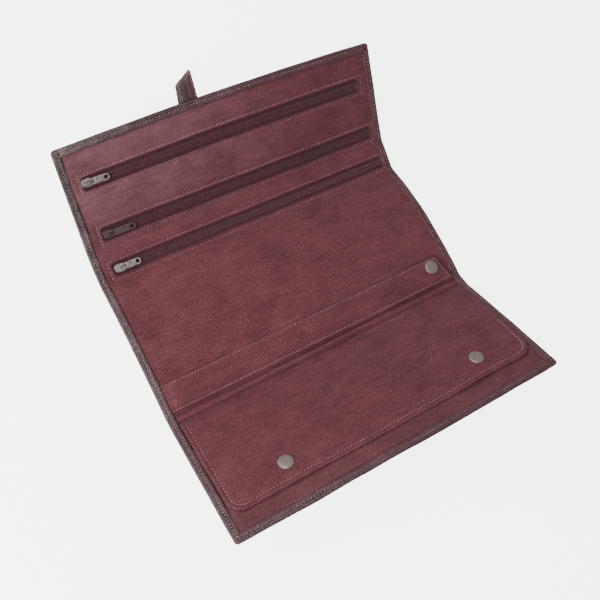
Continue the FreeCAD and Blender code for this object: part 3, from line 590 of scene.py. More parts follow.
# %% Make the grained leather
LIT_ACROSS, LIT_UP = (-110 * MM, 90 * MM), (-60 * MM, 90 * MM)
EDGE_DYE_AND_SHADE = ((5.7 * MM, 6.3 * MM), (8.2 * MM, 8.8 * MM))
RED_RIM = (3.0 * MM, 5.0 * MM)
STRAP_CENTRE = ((-0.5 * MM, -0.15 * MM), (0.15 * MM, 0.5 * MM))


def paint_edge_dye_and_shade(tree, vector, base):
    """The roll's outer edge is nearly black, partly its dye and partly painted shade on its side: a band
    between two places of the border's girth.
    """
    dyed_and_shaded = times(tree, band_along(tree, vector, "Y", *EDGE_DYE_AND_SHADE), 0.9)
    return mix_colours(tree, dyed_and_shaded, base, colour(32, 20, 18))


def redden_right(tree, vector, base):
    """The strap's right rim is darker red; its middle seam is dark."""
    share = times(tree, ramp_along(tree, vector, "X", *RED_RIM), 0.8)
    base = mix_colours(tree, share, base, colour(78, 34, 42))
    seam = times(tree, band_along(tree, vector, "X", *STRAP_CENTRE), 0.7)
    return mix_colours(tree, seam, base, colour(30, 18, 20))


def grained(name, dark, worn, wear, roughness, extra=None):
    material, tree, vector = start_material(name, Specular_IOR_Level=0.5)
    grain = place_group(tree, GRAIN, vector, Wear=wear)
    speckle = place_group(tree, SPECKLE, vector, Fine_Scale=1600.0, Broad_Scale=45.0)
    # Painted highlight: the leather is greyed on the left, where the light comes from, most on its pebbles'
    # tops; away from the light it keeps its wine red.
    place_on_roll = add_node(tree, "TexCoord").outputs["Object"]
    left = minus(tree, 1.0, ramp_along(tree, place_on_roll, "X", *LIT_ACROSS))
    up = plus(tree, times(tree, ramp_along(tree, place_on_roll, "Y", *LIT_UP), 0.6), 0.4)
    away_from_light = minus(tree, 1.0, times(tree, left, up))
    rubbed_and_lit = times(tree, grain["Worn"], minus(tree, 1.0, times(tree, away_from_light, 0.8)))
    base = mix_colours(tree, rubbed_and_lit, dark, worn)
    base = mix_colours(tree, times(tree, away_from_light, 0.75), base, colour(80, 42, 49))
    # Painted shade: the grain's creases are darkened.
    base = mix_colours(tree, times(tree, grain["Crease"], 0.5), base, colour(34, 20, 22))
    base = shaded(tree, base, stretch_range(tree, speckle["Broad"], 0.0, 1.0, 0.78, 1.15))
    base = extra(tree, vector, base) if extra else base
    rough = stretch_range(tree, grain["Crease"], 0.0, 1.0, roughness, 0.8)
    return finish_material(material, base, grain["Height"], 0.6, 0.25 * MM, rough)


# The second colour of each leather is the grey of the painted highlight, with a little rubbing.
LEATHER = grained("wine_leather", colour(50, 26, 29), colour(120, 96, 93), 0.8, 0.4)
BORDER_LEATHER = grained("border_leather", colour(44, 24, 27), colour(150, 126, 124), 0.66, 0.3,
                         paint_edge_dye_and_shade)
STRAP_LEATHER = grained("strap_leather", colour(52, 32, 37), colour(108, 84, 87), 0.8, 0.42,
                        redden_right)
print("leathers:", LEATHER.name, BORDER_LEATHER.name, STRAP_LEATHER.name)

# %% [markdown]
# ### Thread, cloth and metal
# The stitches are pale pink thread with a twist, the zip tapes are a dull wine weave, the coil is
# darker nylon, and the metals are a satin nickel and a taupe lacquer. The taupe also stands for the
# middle slider's nickel, painted darker as shade because it lies in shadow under the lining.

# %% Make the thread, cloth and metal finishes
def thread(name, dark, light):
    material, tree, vector = start_material(name, flat=False, Roughness=0.62, Sheen_Weight=0.2,
                                            Specular_IOR_Level=0.35)
    speckle = place_group(tree, SPECKLE, vector, Fine_Scale=5200.0, Broad_Scale=900.0)
    paler = times(tree, stretch_range(tree, speckle["Fine"], 0.3, 0.6), speckle["Broad"])
    return finish_material(material, mix_colours(tree, paler, dark, light), speckle["Fine"], 0.4, 0.1 * MM)


def woven(name, dark, light, threads, slant):
    material, tree, vector = start_material(name, Roughness=0.85, Sheen_Weight=0.15,
                                            Specular_IOR_Level=0.2)
    weave = place_group(tree, WEAVE, vector, Threads=threads, Slant=slant)
    base = mix_colours(tree, stretch_range(tree, weave["Thread"], 0.1, 0.55), dark, light)
    return finish_material(material, base, weave["Height"], 0.6, 0.2 * MM)


def lacquered(name, dark, light, metallic, roughness, specular=0.5):
    material, tree, vector = start_material(name, flat=False, Metallic=metallic,
                                            Specular_IOR_Level=specular)
    speckle = place_group(tree, SPECKLE, vector, Fine_Scale=3800.0, Broad_Scale=420.0)
    rough = stretch_range(tree, speckle["Broad"], 0.0, 1.0, roughness - 0.07, roughness + 0.1)
    return finish_material(material, mix_colours(tree, speckle["Broad"], dark, light), speckle["Height"],
                           0.03, 0.03 * MM, rough)


THREAD = thread("pale_thread", colour(78, 42, 47), colour(194, 150, 153))
DARK_THREAD = thread("dark_thread", colour(60, 34, 38), colour(104, 70, 74))
COIL = thread("coil_nylon", colour(38, 12, 16), colour(112, 48, 57))
TAPE = woven("zip_tape", colour(36, 14, 18), colour(84, 42, 48), 3400.0, 0.785)
# Painted shade: the dark pegs in the needle holes.
NEEDLE_HOLE_SHADE = lacquered("needle_hole", colour(30, 14, 17), colour(42, 20, 24), 0.0, 0.85, 0.1)
NICKEL = lacquered("satin_nickel", colour(108, 98, 96), colour(168, 158, 154), 0.75, 0.36)
# Taupe lacquer for the zip stops, and for the middle slider and pull as painted shade.
TAUPE_AND_SHADED_METAL = lacquered("taupe_metal", colour(62, 48, 46), colour(84, 68, 65), 0.35, 0.5)
CAP_LACQUER = lacquered("cap_lacquer", colour(104, 91, 87), colour(112, 99, 94), 0.15, 0.34)
STEEL = lacquered("plain_steel", colour(140, 134, 128), colour(176, 170, 164), 0.95, 0.32)
print("finishes:", len(bpy.data.materials))

# %% [markdown]
# ## Where the zips are sewn
# Three zips cross the roll, each in a window of the lining with a square seam round it. The
# window could be cut by a boolean, but that leaves ragged edges in bent leather. So each zip is a
# few numbers on the cutting table, and everything that meets it is made from these.

# %% Lay out the zips
BORDER, TUCKED, SEAM_INSET = 5.5 * MM, 1.5 * MM, 2.8 * MM
END_SEAM, SEAM_RIGHT = 2.5 * MM, 111.4 * MM
ZIPS = {
    "top": {"v": 262.1 * MM, "left": -105.0 * MM, "right": 104.3 * MM, "up": 4.9 * MM, "down": 4.9 * MM,
            "seam": 6.5 * MM, "length": "upper", "body": "upper_panel", "square": False},
    "middle": {"v": 225.8 * MM, "left": -103.8 * MM, "right": 108.0 * MM, "up": 4.9 * MM, "down": 4.7 * MM,
               "seam": 6.5 * MM, "length": "upper", "body": "upper_panel", "square": True},
    "lower": {"v": 202.1 * MM, "left": -105.5 * MM, "right": 110.5 * MM, "up": 4.5 * MM, "down": 4.2 * MM,
              "seam": 6.0 * MM, "length": "far", "body": "upper_fold", "square": False},
}


def seam_box(item):
    """The left, right, low and high side of the stitching round a zip's window."""
    return (item["left"] - END_SEAM, min(item["right"] + END_SEAM, SEAM_RIGHT),
            item["v"] - item["seam"], item["v"] + item["seam"])


def seam_boxes(length):
    return [seam_box(item) for item in ZIPS.values() if item["length"] == length]


def box_distance(u, v, box):
    """Distance to a box's outline: negative inside it."""
    left, right, low, high = box
    across = np.abs(u - (left + right) / 2) - (right - left) / 2
    along = np.abs(v - (low + high) / 2) - (high - low) / 2
    outside = np.hypot(np.maximum(across, 0), np.maximum(along, 0))
    return outside + np.minimum(np.maximum(across, along), 0)


print("zips:", ", ".join(ZIPS))

# %% [markdown]
# ## The lining
# The lining is soft suede, cut to the panel with its three windows. It could be one thick slab,
# but suede shows its stitching: every seam pulls it down in a soft valley, and the leather swells
# a little between seams. So the sheet is a fine grid whose height is worked out from its distance
# to each seam. A few short ridges and furrows show where it folds.

# %% Cut the lining
SEAM_DEPTH, SEAM_WIDTH = 0.2 * MM, 0.9 * MM
SWELL, SWELL_WIDTH = 0.45 * MM, 7.0 * MM
POCKET_TOP, POCKET_FADE, UNDER_POCKET = 68.0 * MM, 6 * MM, 0.25 * MM
LINING_STEP_U, LINING_STEP_V = 2.2 * MM, 2.0 * MM
FOLD_RIDGES = (((-100, 93.4), (111, 94.4), 1.7), ((-111, 91.0), (80, 91.2), -1.3),
               ((-80, 96.4), (112, 96.8), -1.5), ((-111, 196.0), (-60, 194.6), 0.3),
               ((60, 214.0), (111, 212.5), 0.3))
CREASE_WIDTH = 1.2 * MM
LINING_NODES = {"lower": ("lining_lower", "padding_lower"),
                "near": ("lining_lower_fold", "padding_lower_fold"),
                "far": ("lining_middle", "padding_middle", "pocket_bag_middle"),
                "upper": ("lining_upper", "lining_upper_fold", "padding_upper", "padding_upper_fold",
                          "pocket_bag_top", "pocket_bag_fold")}


def crease_height(u, v, creases):
    """Small ridges and furrows along short lines, given in millimetres."""
    total = np.zeros(np.broadcast(u, v).shape)
    for start, end, height in creases:
        start, run = np.array(start) * MM, (np.array(end) - start) * MM
        share = np.clip(((u - start[0]) * run[0] + (v - start[1]) * run[1]) / (run @ run), 0, 1)
        gap = np.hypot(u - start[0] - share * run[0], v - start[1] - share * run[1])
        total += height * MM * bell(gap, CREASE_WIDTH) * np.sin(np.pi * np.clip(share, 0.04, 0.96))
    return total


def lining_lift(u, v):
    """The lining's height: soft swells that sink to the border and to every zip's seam."""
    free = -box_distance(u, v, (-HALF_WIDTH + BORDER, HALF_WIDTH - BORDER, BORDER, TOP_EDGE - BORDER))
    groove = np.zeros(np.broadcast(u, v).shape)
    for item in ZIPS.values():
        gap = box_distance(u, v, seam_box(item))
        free = np.minimum(free, np.abs(gap))
        groove += SEAM_DEPTH * bell(gap, SEAM_WIDTH)
    covered = smooth((POCKET_TOP + POCKET_FADE - v) / POCKET_FADE)
    swell = SWELL * smooth(free / SWELL_WIDTH) * (1 - covered)
    return swell - groove - UNDER_POCKET * covered + crease_height(u, v, FOLD_RIDGES)


def lining_span(length):
    """Where the lining starts and ends along one length of the sheet."""
    return (BORDER - TUCKED if length == "lower" else LENGTHS[length]["low"],
            TOP_EDGE - BORDER + TUCKED if length == "upper" else LENGTHS[length]["high"])


def make_lining(length):
    boxes = seam_boxes(length)
    edge = HALF_WIDTH - BORDER
    low, high = lining_span(length)
    u = lines(-edge - TUCKED, edge + TUCKED, LINING_STEP_U,
              [-edge, edge] + [side for box in boxes for side in box[:2]])
    fine = [row for box in boxes for row in box[2:]] + [BORDER, TOP_EDGE - BORDER]
    fine += [ridge[0][1] * MM for ridge in FOLD_RIDGES]
    v = lines(low, high, LINING_STEP_V, [row for row in fine if low < row < high])
    middle_u, middle_v = np.meshgrid((u[1:] + u[:-1]) / 2, (v[1:] + v[:-1]) / 2)
    keep = np.ones(middle_u.shape, bool)
    for box in boxes:
        keep &= box_distance(middle_u, middle_v, box) > 0
    obj = add_grid("lining_sheet_" + length, u, v, lining_lift, SUEDE, "suede_lining", keep)
    return bend_with(obj, length)


for length, nodes in LINING_NODES.items():
    make_lining(length)
    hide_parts(*nodes)

# %% [markdown]
# ## The window edges
# The suede is turned under at each zip window and stitched down, which makes a rounded lip that
# catches the light. A bevel on the sheet's edge would round it, but not sink it to the tape. So
# each lip is a band swept from the square seam to the rounded window, a little raised in
# between, and rolled down to the tape at the inside.

# %% Turn the window edges under
LIP_SHARES = (0.0, 0.1, 0.25, 0.45, 0.65, 0.8, 0.92, 0.98, 1.0, 1.0)
LIP_LIFTS = tuple(height * MM for height in (-0.2, -0.12, 0.08, 0.3, 0.36, 0.3, 0.1, -0.1, -0.35, -0.8))
WINDOW_ROUND, WINDOW_SQUARE = 2.6 * MM, 0.4 * MM
ROUND_STEPS, LONG_POINTS, SHORT_POINTS = 6, 90, 4
WINDOW_CORNERS = ((0, 2, 180), (1, 2, 270), (1, 3, 0), (0, 3, 90))


def corner_turn(centre, start, radius):
    """Points of a quarter turn, counter-clockwise from an angle in degrees."""
    turns = np.radians(start + np.linspace(0, 90, ROUND_STEPS + 1))
    return np.stack([centre[0] + radius * np.cos(turns), centre[1] + radius * np.sin(turns)], -1)


def square_turn(corner, before, after):
    """As many points round a square corner, from a place before it to one after it."""
    half = ROUND_STEPS // 2
    return np.concatenate([np.linspace(before, corner, half + 1), np.linspace(corner, after, half + 1)[1:]])


def fill_sides(turns):
    """Join four turns by straight sides; the long ones get many points."""
    loop = []
    for number, turn in enumerate(turns):
        count = SHORT_POINTS if number % 2 else LONG_POINTS
        loop += [turn, np.linspace(turn[-1], turns[(number + 1) % 4][0], count + 2)[1:-1]]
    return np.concatenate(loop)


def window_loops(item):
    """The rounded inner loop of a window and the square outer loop of its seam."""
    seam = seam_box(item)
    window = (item["left"], item["right"], item["v"] - item["down"], item["v"] + item["up"])
    inner, outer = [], []
    for side, level, start in WINDOW_CORNERS:
        radius = WINDOW_SQUARE if item["square"] and side == 1 else WINDOW_ROUND
        centre = (window[side] + (radius if side == 0 else -radius),
                  window[level] + (radius if level == 2 else -radius))
        inner.append(corner_turn(centre, start, radius))
        before, after = (seam[side], centre[1]), (centre[0], seam[level])
        if start in (270, 90):
            before, after = after, before
        outer.append(square_turn((seam[side], seam[level]), before, after))
    return fill_sides(inner), fill_sides(outer)


def make_window_edge(name, item):
    inner, outer = window_loops(item)
    flat = np.stack([outer + (inner - outer) * share for share in LIP_SHARES], axis=1)
    points = on_roll(flat[..., 0], flat[..., 1], LIP_LIFTS)
    columns = len(LIP_SHARES)
    faces = grid_faces(len(inner) + 1, columns) % (len(inner) * columns)
    obj = add_mesh(name + "_window_edge", points, faces[:, ::-1], SUEDE, "suede_lining", flat)
    return bend_with(obj, item["length"])


def declare_lining(length):
    """Work out the lining's span and the area of its zip windows; neither is kept."""
    low, high = lining_span(length)
    windows = sum((right - left) * (top - foot) for left, right, foot, top in seam_boxes(length))


edges = {length: [] for length in LENGTHS}
for name, item in ZIPS.items():
    edges[item["length"]].append(make_window_edge(name, item))
for length in LENGTHS:
    declare_lining(length)
print("window edges:", len(ZIPS))

# %% [markdown]
# ## The turned edge
# The cover's leather comes round the roll's edge and lies on the lining as a narrow border. A
# solidified plane would give square edges, so the border is swept: one cross-section, from the
# cut edge on the lining over the border, round the roll's edge and on to the back, follows the
# outline. At the corners the section is mitred, as the folded leather is.

# %% Walk round the outline
EDGE_RADIUS, EDGE_STEP = 2.5 * MM, 1.0 * MM


def side_stations(u_sign, low, high):
    """Places up one side; each gives its point for a distance in from the edge."""
    rows = np.linspace(low, high, max(2, int(abs(high - low) / EDGE_STEP)))
    return [lambda inset, v=row: (u_sign * (HALF_WIDTH - inset), v) for row in rows]


def corner_stations(u_sign, v_edge, v_sign):
    """Places round one corner, from the side edge to the long edge."""
    def place(inset, turn):
        radius = EDGE_RADIUS - inset
        if radius <= 0:
            return u_sign * (HALF_WIDTH - inset), v_edge + v_sign * inset
        return (u_sign * (HALF_WIDTH - EDGE_RADIUS + radius * math.cos(turn)),
                v_edge + v_sign * (EDGE_RADIUS - radius * math.sin(turn)))
    turns = np.radians(np.linspace(0, 90, 8))[1:-1]
    return [lambda inset, turn=turn: place(inset, turn) for turn in turns]


def long_stations(v_edge, v_sign):
    """Places along the lower or the top edge, from left to right."""
    reach = HALF_WIDTH - EDGE_RADIUS
    columns = np.linspace(-reach, reach, int(2 * reach / EDGE_STEP))
    return [lambda inset, u=column: (u, v_edge + v_sign * inset) for column in columns]


def border_stations(length):
    """The outline's stretches in one length of the sheet, as lists of places."""
    low, high = LENGTHS[length]["low"], LENGTHS[length]["high"]
    if length in ("near", "far"):
        return [side_stations(-1, high, low), side_stations(1, low, high)]
    edge, way, cut = (0.0, 1, high) if length == "lower" else (TOP_EDGE, -1, low)
    near = edge + way * EDGE_RADIUS
    return [side_stations(-way, cut, near) + corner_stations(-way, edge, way)
            + long_stations(edge, way)[::way]
            + corner_stations(way, edge, way)[::-1] + side_stations(way, near, cut)]


print("places along the lower edge:", len(long_stations(0.0, 1)))

# %% [markdown]
# ### The border's section
# The section is a list of points, each with its distance in from the edge and its height. It dips
# where the seam runs, and the leather stands up a little between stitches. A bump texture could
# show this, but the edge is seen from the side, where only real form makes its outline.

# %% Sweep the border round the edge
BORDER_SECTION = np.array([
    (5.6, -0.25), (5.52, 0.25), (5.42, 0.5), (5.1, 0.68), (4.5, 0.74), (3.8, 0.68), (3.25, 0.52),
    (2.8, 0.36), (2.35, 0.46), (1.7, 0.52), (1.1, 0.42), (0.6, 0.2), (0.25, -0.15), (0.04, -0.55),
    (0.0, -0.9), (0.04, -1.25), (0.25, -1.6), (0.6, -1.85), (1.1, -2.0), (1.8, -2.1), (2.35, -2.1),
    (2.8, -2.05), (3.25, -2.25), (3.9, -2.5), (6.2, -2.66)]) * MM
STITCH_PITCH = 2.25 * MM
PUCKER, PUCKER_WIDTH, PUCKERED = 0.13 * MM, 1.4 * MM, 5.7 * MM
EDGE_SWELL, EDGE_WAVE = 0.1 * MM, 2.6


def swell_of_edge(u, v):
    """The thickness of the turned edge is never quite even."""
    return wave_height(u * EDGE_WAVE, v * EDGE_WAVE, height=EDGE_SWELL)


def puckers(u, v, insets):
    """The thread draws the leather in, so it stands up a little between the stitches."""
    along = np.where(np.abs(u) > HALF_WIDTH - PUCKERED, v, u + HALF_WIDTH) - SEAM_INSET
    return PUCKER * np.cos(2 * np.pi * along / STITCH_PITCH) * bell(insets - SEAM_INSET, PUCKER_WIDTH)


def make_border(length):
    girth = np.cumsum(np.hypot(*np.diff(BORDER_SECTION, axis=0, prepend=BORDER_SECTION[:1]).T))
    points, faces, flats, start = [], [], [], 0
    for stations in border_stations(length):
        u, v = np.moveaxis([[place(inset) for inset in BORDER_SECTION[:, 0]] for place in stations], -1, 0)
        lifts = BORDER_SECTION[:, 1] + swell_of_edge(u, v) + puckers(u, v, BORDER_SECTION[:, 0])
        points.append(on_roll(u, v, lifts).reshape(-1, 3))
        faces.append(grid_faces(len(stations), len(BORDER_SECTION), start=start)[:, ::-1])
        start += u.size
        travel = np.arange(len(stations)) * EDGE_STEP
        flats.append(np.stack(np.meshgrid(travel, girth, indexing="ij"), -1).reshape(-1, 2))
    obj = add_mesh("cover_border_" + length, np.concatenate(points), np.concatenate(faces), BORDER_LEATHER,
                   "grained_leather", np.concatenate(flats), merge=FINE_MERGE)
    return bend_with(obj, length)


print("border section:", len(BORDER_SECTION), "points")

# %% [markdown]
# ### The cover's outside
# Inside the border the cover's back is plain leather. It could share the border's mesh, but a
# grid of its own is simpler, and it starts a little under the border's last points, so that no
# gap shows. With its border it stands for one length of the cover.

# %% Lay the cover's back
BACK_LIFT, BACK_INSET = -2.65 * MM, 5.8 * MM
BACK_COLUMNS, BACK_STEP = 70, 2.4 * MM
COVER_NODES = {"lower": ["cover_lower"], "near": ["cover_lower_fold"], "far": ["cover_middle"],
               "upper": ["cover_upper", "cover_upper_fold"]}


def back_span(length):
    """Where the cover's outside starts and ends along one length of the sheet."""
    return (BACK_INSET if length == "lower" else LENGTHS[length]["low"],
            TOP_EDGE - BACK_INSET if length == "upper" else LENGTHS[length]["high"])


def back_lift(u, v):
    return BACK_LIFT + swell_of_edge(u, v)


def make_back(length):
    edge = HALF_WIDTH - BACK_INSET
    low, high = back_span(length)
    v = np.linspace(low, high, int((high - low) / BACK_STEP))
    obj = add_grid("cover_back_" + length, np.linspace(-edge, edge, BACK_COLUMNS), v, back_lift, LEATHER,
                   "grained_leather", face_down=True)
    return bend_with(obj, length)


for length, nodes in COVER_NODES.items():
    border, back = make_border(length), make_back(length)
    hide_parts(*nodes)
    back_span(length)[1] - back_span(length)[0]
print("cover lengths:", len(COVER_NODES))

# %% [markdown]
# ## Stitches
# A lockstitch shows as a row of short bars that dive into the leather at both ends. A textured
# line would be quick, but it has no shadow of its own. Each stitch here is a small tapered tube
# of six rings, bent over its middle, with a small dark peg at each end as painted shade in its
# needle hole, and a whole row is made at once with arrays.

# %% Shape the stitches
STITCH_LENGTH = 0.66 * STITCH_PITCH
STITCH_SLANT = (math.radians(20), math.radians(5))
STITCH_SIDES, STITCH_RADIUS = 6, 0.22 * MM
STITCH_RINGS = ((-0.5, -0.32, 0.45), (-0.38, -0.02, 0.95), (-0.14, 0.14, 1.0),
                (0.14, 0.14, 1.0), (0.38, -0.02, 0.95), (0.5, -0.32, 0.45))
STITCH_RADII = [radius * STITCH_RADIUS for along, rise, radius in STITCH_RINGS]
HOLE_RINGS, HOLE_RADIUS = ((-0.4, 0.6), (0.05, 1.0), (0.16, 0.5)), 0.34 * MM
HOLE_APART, HOLE_SUNK = 0.6, 0.12
FRONT_ABOVE = -1.5 * MM


def tube_mesh(rings, radii):
    """Closed tapered tubes. rings: (tubes, rings, 3) middles; radii: one for each ring."""
    count, length = rings.shape[:2]
    way = rings[:, -1] - rings[:, 0]
    way /= np.linalg.norm(way, axis=1)[:, None]
    side = np.cross(way, np.array([0.31, 0.52, 0.79]))
    side /= np.linalg.norm(side, axis=1)[:, None]
    other = np.cross(way, side)
    turns = 2 * math.pi * np.arange(STITCH_SIDES) / STITCH_SIDES
    spokes = (np.cos(turns)[None, :, None] * side[:, None] + np.sin(turns)[None, :, None] * other[:, None])
    points = rings[:, :, None] + spokes[:, None] * np.asarray(radii)[None, :, None, None]
    ring = np.arange(STITCH_SIDES)
    following = (ring + 1) % STITCH_SIDES
    body = np.concatenate([np.stack([ring, following, STITCH_SIDES + following, STITCH_SIDES + ring], -1)
                           + number * STITCH_SIDES for number in range(length - 1)])
    each = length * STITCH_SIDES
    starts = np.arange(count) * each
    quads = (body[None] + starts[:, None, None]).reshape(-1, 4).tolist()
    caps = [(start + ring[::-1]).tolist() for start in starts]
    caps += [(start + each - STITCH_SIDES + ring).tolist() for start in starts]
    return points.reshape(-1, 3), quads + caps


def stitch_rings(places, ways, lift, side):
    """The middles of every stitch's rings. lift: the leather's height under each stitch."""
    rings = []
    for along, rise, radius in STITCH_RINGS:
        spot = places + ways * (along * STITCH_LENGTH)
        rings.append(on_roll(spot[:, 0], spot[:, 1], lift + side * rise * STITCH_RADIUS * 2))
    return np.stack(rings, axis=1)


def add_stitches(name, places, ways, lift, material, slot, attach):
    """Lay the threads and, at both ends of each, a dark peg as painted shade in the needle hole."""
    side = 1 if np.mean(lift) > FRONT_ABOVE else -1
    points, faces = tube_mesh(stitch_rings(places, ways, lift, side), STITCH_RADII)
    attach(add_mesh(name, points, faces, material, slot))
    ends = np.concatenate([places + ways * (way * STITCH_LENGTH * HOLE_APART) for way in (-1, 1)])
    height = np.tile(np.broadcast_to(lift, len(places)), 2)
    pegs = np.stack([on_roll(ends[:, 0], ends[:, 1], height + side * (rise - HOLE_SUNK) * MM)
                     for rise, radius in HOLE_RINGS], axis=1)
    points, faces = tube_mesh(pegs, [radius * HOLE_RADIUS for rise, radius in HOLE_RINGS])
    attach(add_mesh(name + "_holes", points, faces, NEEDLE_HOLE_SHADE, slot))


print("a stitch is %.1f mm long" % (STITCH_LENGTH / MM))

# %% [markdown]
# ### Rows of stitches
# On the real roll one row runs round the whole edge, seen from both sides, and one round each
# zip. A particle system could scatter the stitches, but a sewn row has an even pitch. So each row
# is walked from corner to corner, and only the slant of its stitches is left to chance.

# %% Sew the rows
def walk(corners):
    """Places and directions at an even pitch along straight runs between corners."""
    places, ways = [], []
    for start, end in zip(corners[:-1], corners[1:]):
        run = np.subtract(end, start)
        length = math.hypot(*run)
        count = max(1, int(round(length / STITCH_PITCH)))
        shares = (np.arange(count) + 0.5) / count
        places.append(np.add(start, shares[:, None] * run))
        ways.append(np.broadcast_to(run / length, (count, 2)))
    return np.concatenate(places), np.concatenate(ways)


def slanted_rows(rows):
    """All stitches of some rows; each lies a little across its row, and no two quite alike."""
    places, ways = (np.concatenate(part) for part in zip(*(walk(row) for row in rows)))
    turns = np.random.default_rng(len(places)).normal(*STITCH_SLANT, len(places))
    across = np.stack([-ways[:, 1], ways[:, 0]], -1)
    return places, ways * np.cos(turns)[:, None] + across * np.sin(turns)[:, None]


def sew_sheet(name, rows, lift, slot):
    """Sew rows on the roll's sheet and share the stitches out among its lengths."""
    places, ways = slanted_rows(rows)
    for length, part in LENGTHS.items():
        here = (places[:, 1] >= part["low"]) & (places[:, 1] < part["high"])
        if here.any():
            add_stitches(name + "_" + length, places[here], ways[here], lift, THREAD, slot,
                         lambda obj, length=length: bend_with(obj, length))
    return len(places)


def boxed(box):
    """A box's outline as a row to sew."""
    left, right, low, high = box
    return [(left, low), (right, low), (right, high), (left, high), (left, low)]


edge_row = boxed((-HALF_WIDTH + SEAM_INSET, HALF_WIDTH - SEAM_INSET, SEAM_INSET, TOP_EDGE - SEAM_INSET))
sewn = sew_sheet("edge_stitches", [edge_row], 0.44 * MM, "grained_leather")
sew_sheet("back_stitches", [edge_row], -2.2 * MM, "grained_leather")
zip_rows = [boxed(seam_box(item)) for item in ZIPS.values()]
sewn += sew_sheet("zip_stitches", zip_rows, -0.12 * MM, "suede_lining")
print("stitches in the lining and the edge:", sewn)

# %% [markdown]
# ## The zips
# A coil zip is two woven tapes with a nylon coil sewn to each, and the coils' loops hook into
# each other. Two ribbed bars would do from afar. Here every loop is its own bent bar, and the
# bars of the two sides alternate, so that the chain has its real broken line down the middle.

# %% Weave the tapes and wind the coils
TAPE_LIFT, TAPE_BOW, TAPE_PAST, TAPE_FREE = -0.75 * MM, 0.12 * MM, 4 * MM, 2 * MM
TAPE_COLUMNS, TAPE_ROWS = 110, 10
COIL_PITCH, COIL_REACH, COIL_RADIUS = 1.15 * MM, 2.0 * MM, 0.31 * MM
COIL_RINGS = ((1.0, 0.1, 0.8), (0.88, 0.55, 1.0), (0.55, 0.85, 1.0), (0.22, 0.6, 1.0), (0.02, 0.15, 0.85))
COIL_LIFT, COIL_BASE, COIL_LEAN = 0.84 * MM, 0.1 * MM, 0.1 * MM
ZIP_MARGIN = 1.6 * MM


def make_tape(name, item):
    u = np.linspace(item["left"] - TAPE_PAST, min(item["right"] + TAPE_PAST, HALF_WIDTH - TAPE_FREE),
                    TAPE_COLUMNS)
    v = item["v"] + np.linspace(-item["seam"], item["seam"], TAPE_ROWS)
    obj = add_grid(name + "_tapes", u, v,
                   lambda u, v: TAPE_LIFT + TAPE_BOW * np.cos((v - item["v"]) / item["seam"] * 3),
                   TAPE, "zip_tape")
    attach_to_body(obj, item["body"])
    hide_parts(name + "_zip_tape")


def make_coil(name, item):
    low, high = item["left"] + ZIP_MARGIN, item["right"] - ZIP_MARGIN
    loops = np.arange(int((high - low) / COIL_PITCH))
    rings = []
    for side in (-1, 1):
        u = low + (loops + (0.25 if side > 0 else 0.75)) * COIL_PITCH
        rings.append(np.stack([on_roll(u + (1 - reach) * COIL_LEAN * side,
                                       item["v"] + side * reach * COIL_REACH,
                                       TAPE_LIFT + COIL_BASE + rise * COIL_LIFT)
                               for reach, rise, radius in COIL_RINGS], axis=1))
    points, faces = tube_mesh(np.concatenate(rings),
                              [radius * COIL_RADIUS for reach, rise, radius in COIL_RINGS])
    obj = add_mesh(name + "_coil", points, faces, COIL, "zip_coil")
    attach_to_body(obj, item["body"])
    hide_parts(name + "_zip_coil")
    print(obj.name, "has", len(faces), "faces")


for name, item in ZIPS.items():
    make_tape(name, item)
    make_coil(name, item)

# %% [markdown]
# ## Soft sheets that lie on the lining
# The flap, the pocket panel and the ring strap are sewn leather: flat in the middle, drawn down
# at the stitching and rolled at the rim. A solidified plane has none of that. Each of them is
# made as a closed sheet instead: its upper and lower face are grids that meet at the rim, and
# their heights are worked out from the distance to the outline.

# %% Build a closed soft sheet
RIM_STEPS = np.array([0.0, 0.05, 0.18, 0.4, 0.7, 1.1, 1.6, 2.2, 3.0, 4.0, 5.4, 7.2, 9.4, 12.0]) * MM
SHEET_WIDTH, SHEET_STEP = 200 * MM, 2.4 * MM
RIM_ROUND, STITCH_LIFT = 0.75, 0.06 * MM


def stepped(low, high, steps_low, steps_high, spacing):
    """Grid lines from low to high, close together at the ends that have steps."""
    first, last = low + steps_low, high - steps_high[::-1]
    count = max(2, int((last[0] - first[-1]) / spacing) + 1)
    return np.concatenate([first, np.linspace(first[-1], last[0], count + 1)[1:-1], last])


def edge_distance(u, v, corners):
    """How far inside a convex outline, given counter-clockwise, a place lies."""
    gaps = []
    for start, end in zip(corners, corners[1:] + corners[:1]):
        run = np.subtract(end, start)
        gaps.append((run[0] * (v - start[1]) - run[1] * (u - start[0])) / math.hypot(*run))
    return np.min(gaps, axis=0)


def rolled(inside, reach):
    """How much of its thickness a sheet has at a distance inside its rounded rim."""
    return np.sqrt(1 - (1 - np.clip(inside / reach, 0, 1)) ** 2)


def soft_sheet(name, rows, span, distance, under, thickness, material, face):
    """A closed sheet. span gives each row's ends, under its underside, face extra height on top."""
    columns = stepped(0.0, 1.0, RIM_STEPS / SHEET_WIDTH, RIM_STEPS / SHEET_WIDTH, SHEET_STEP / SHEET_WIDTH)
    ends = np.array([span(row) for row in rows])
    u = ends[:, :1] + (ends[:, 1:] - ends[:, :1]) * columns
    v = np.broadcast_to(rows[:, None], u.shape)
    inside = np.clip(distance(u, v), 0, None)
    thick = thickness(u, v) if callable(thickness) else thickness
    roll = rolled(inside, thick * RIM_ROUND)
    middle = under(u, v) + thick / 2
    points = [on_roll(u, v, middle + roll * (thick / 2 + face(u, v, inside))),
              on_roll(u, v, middle - roll * thick / 2)]
    faces = np.concatenate([grid_faces(*u.shape), grid_faces(*u.shape, start=u.size)[:, ::-1]])
    return add_mesh(name, points, faces, material, "suede_lining", [np.stack([u, v], -1)] * 2, merge=MERGE)


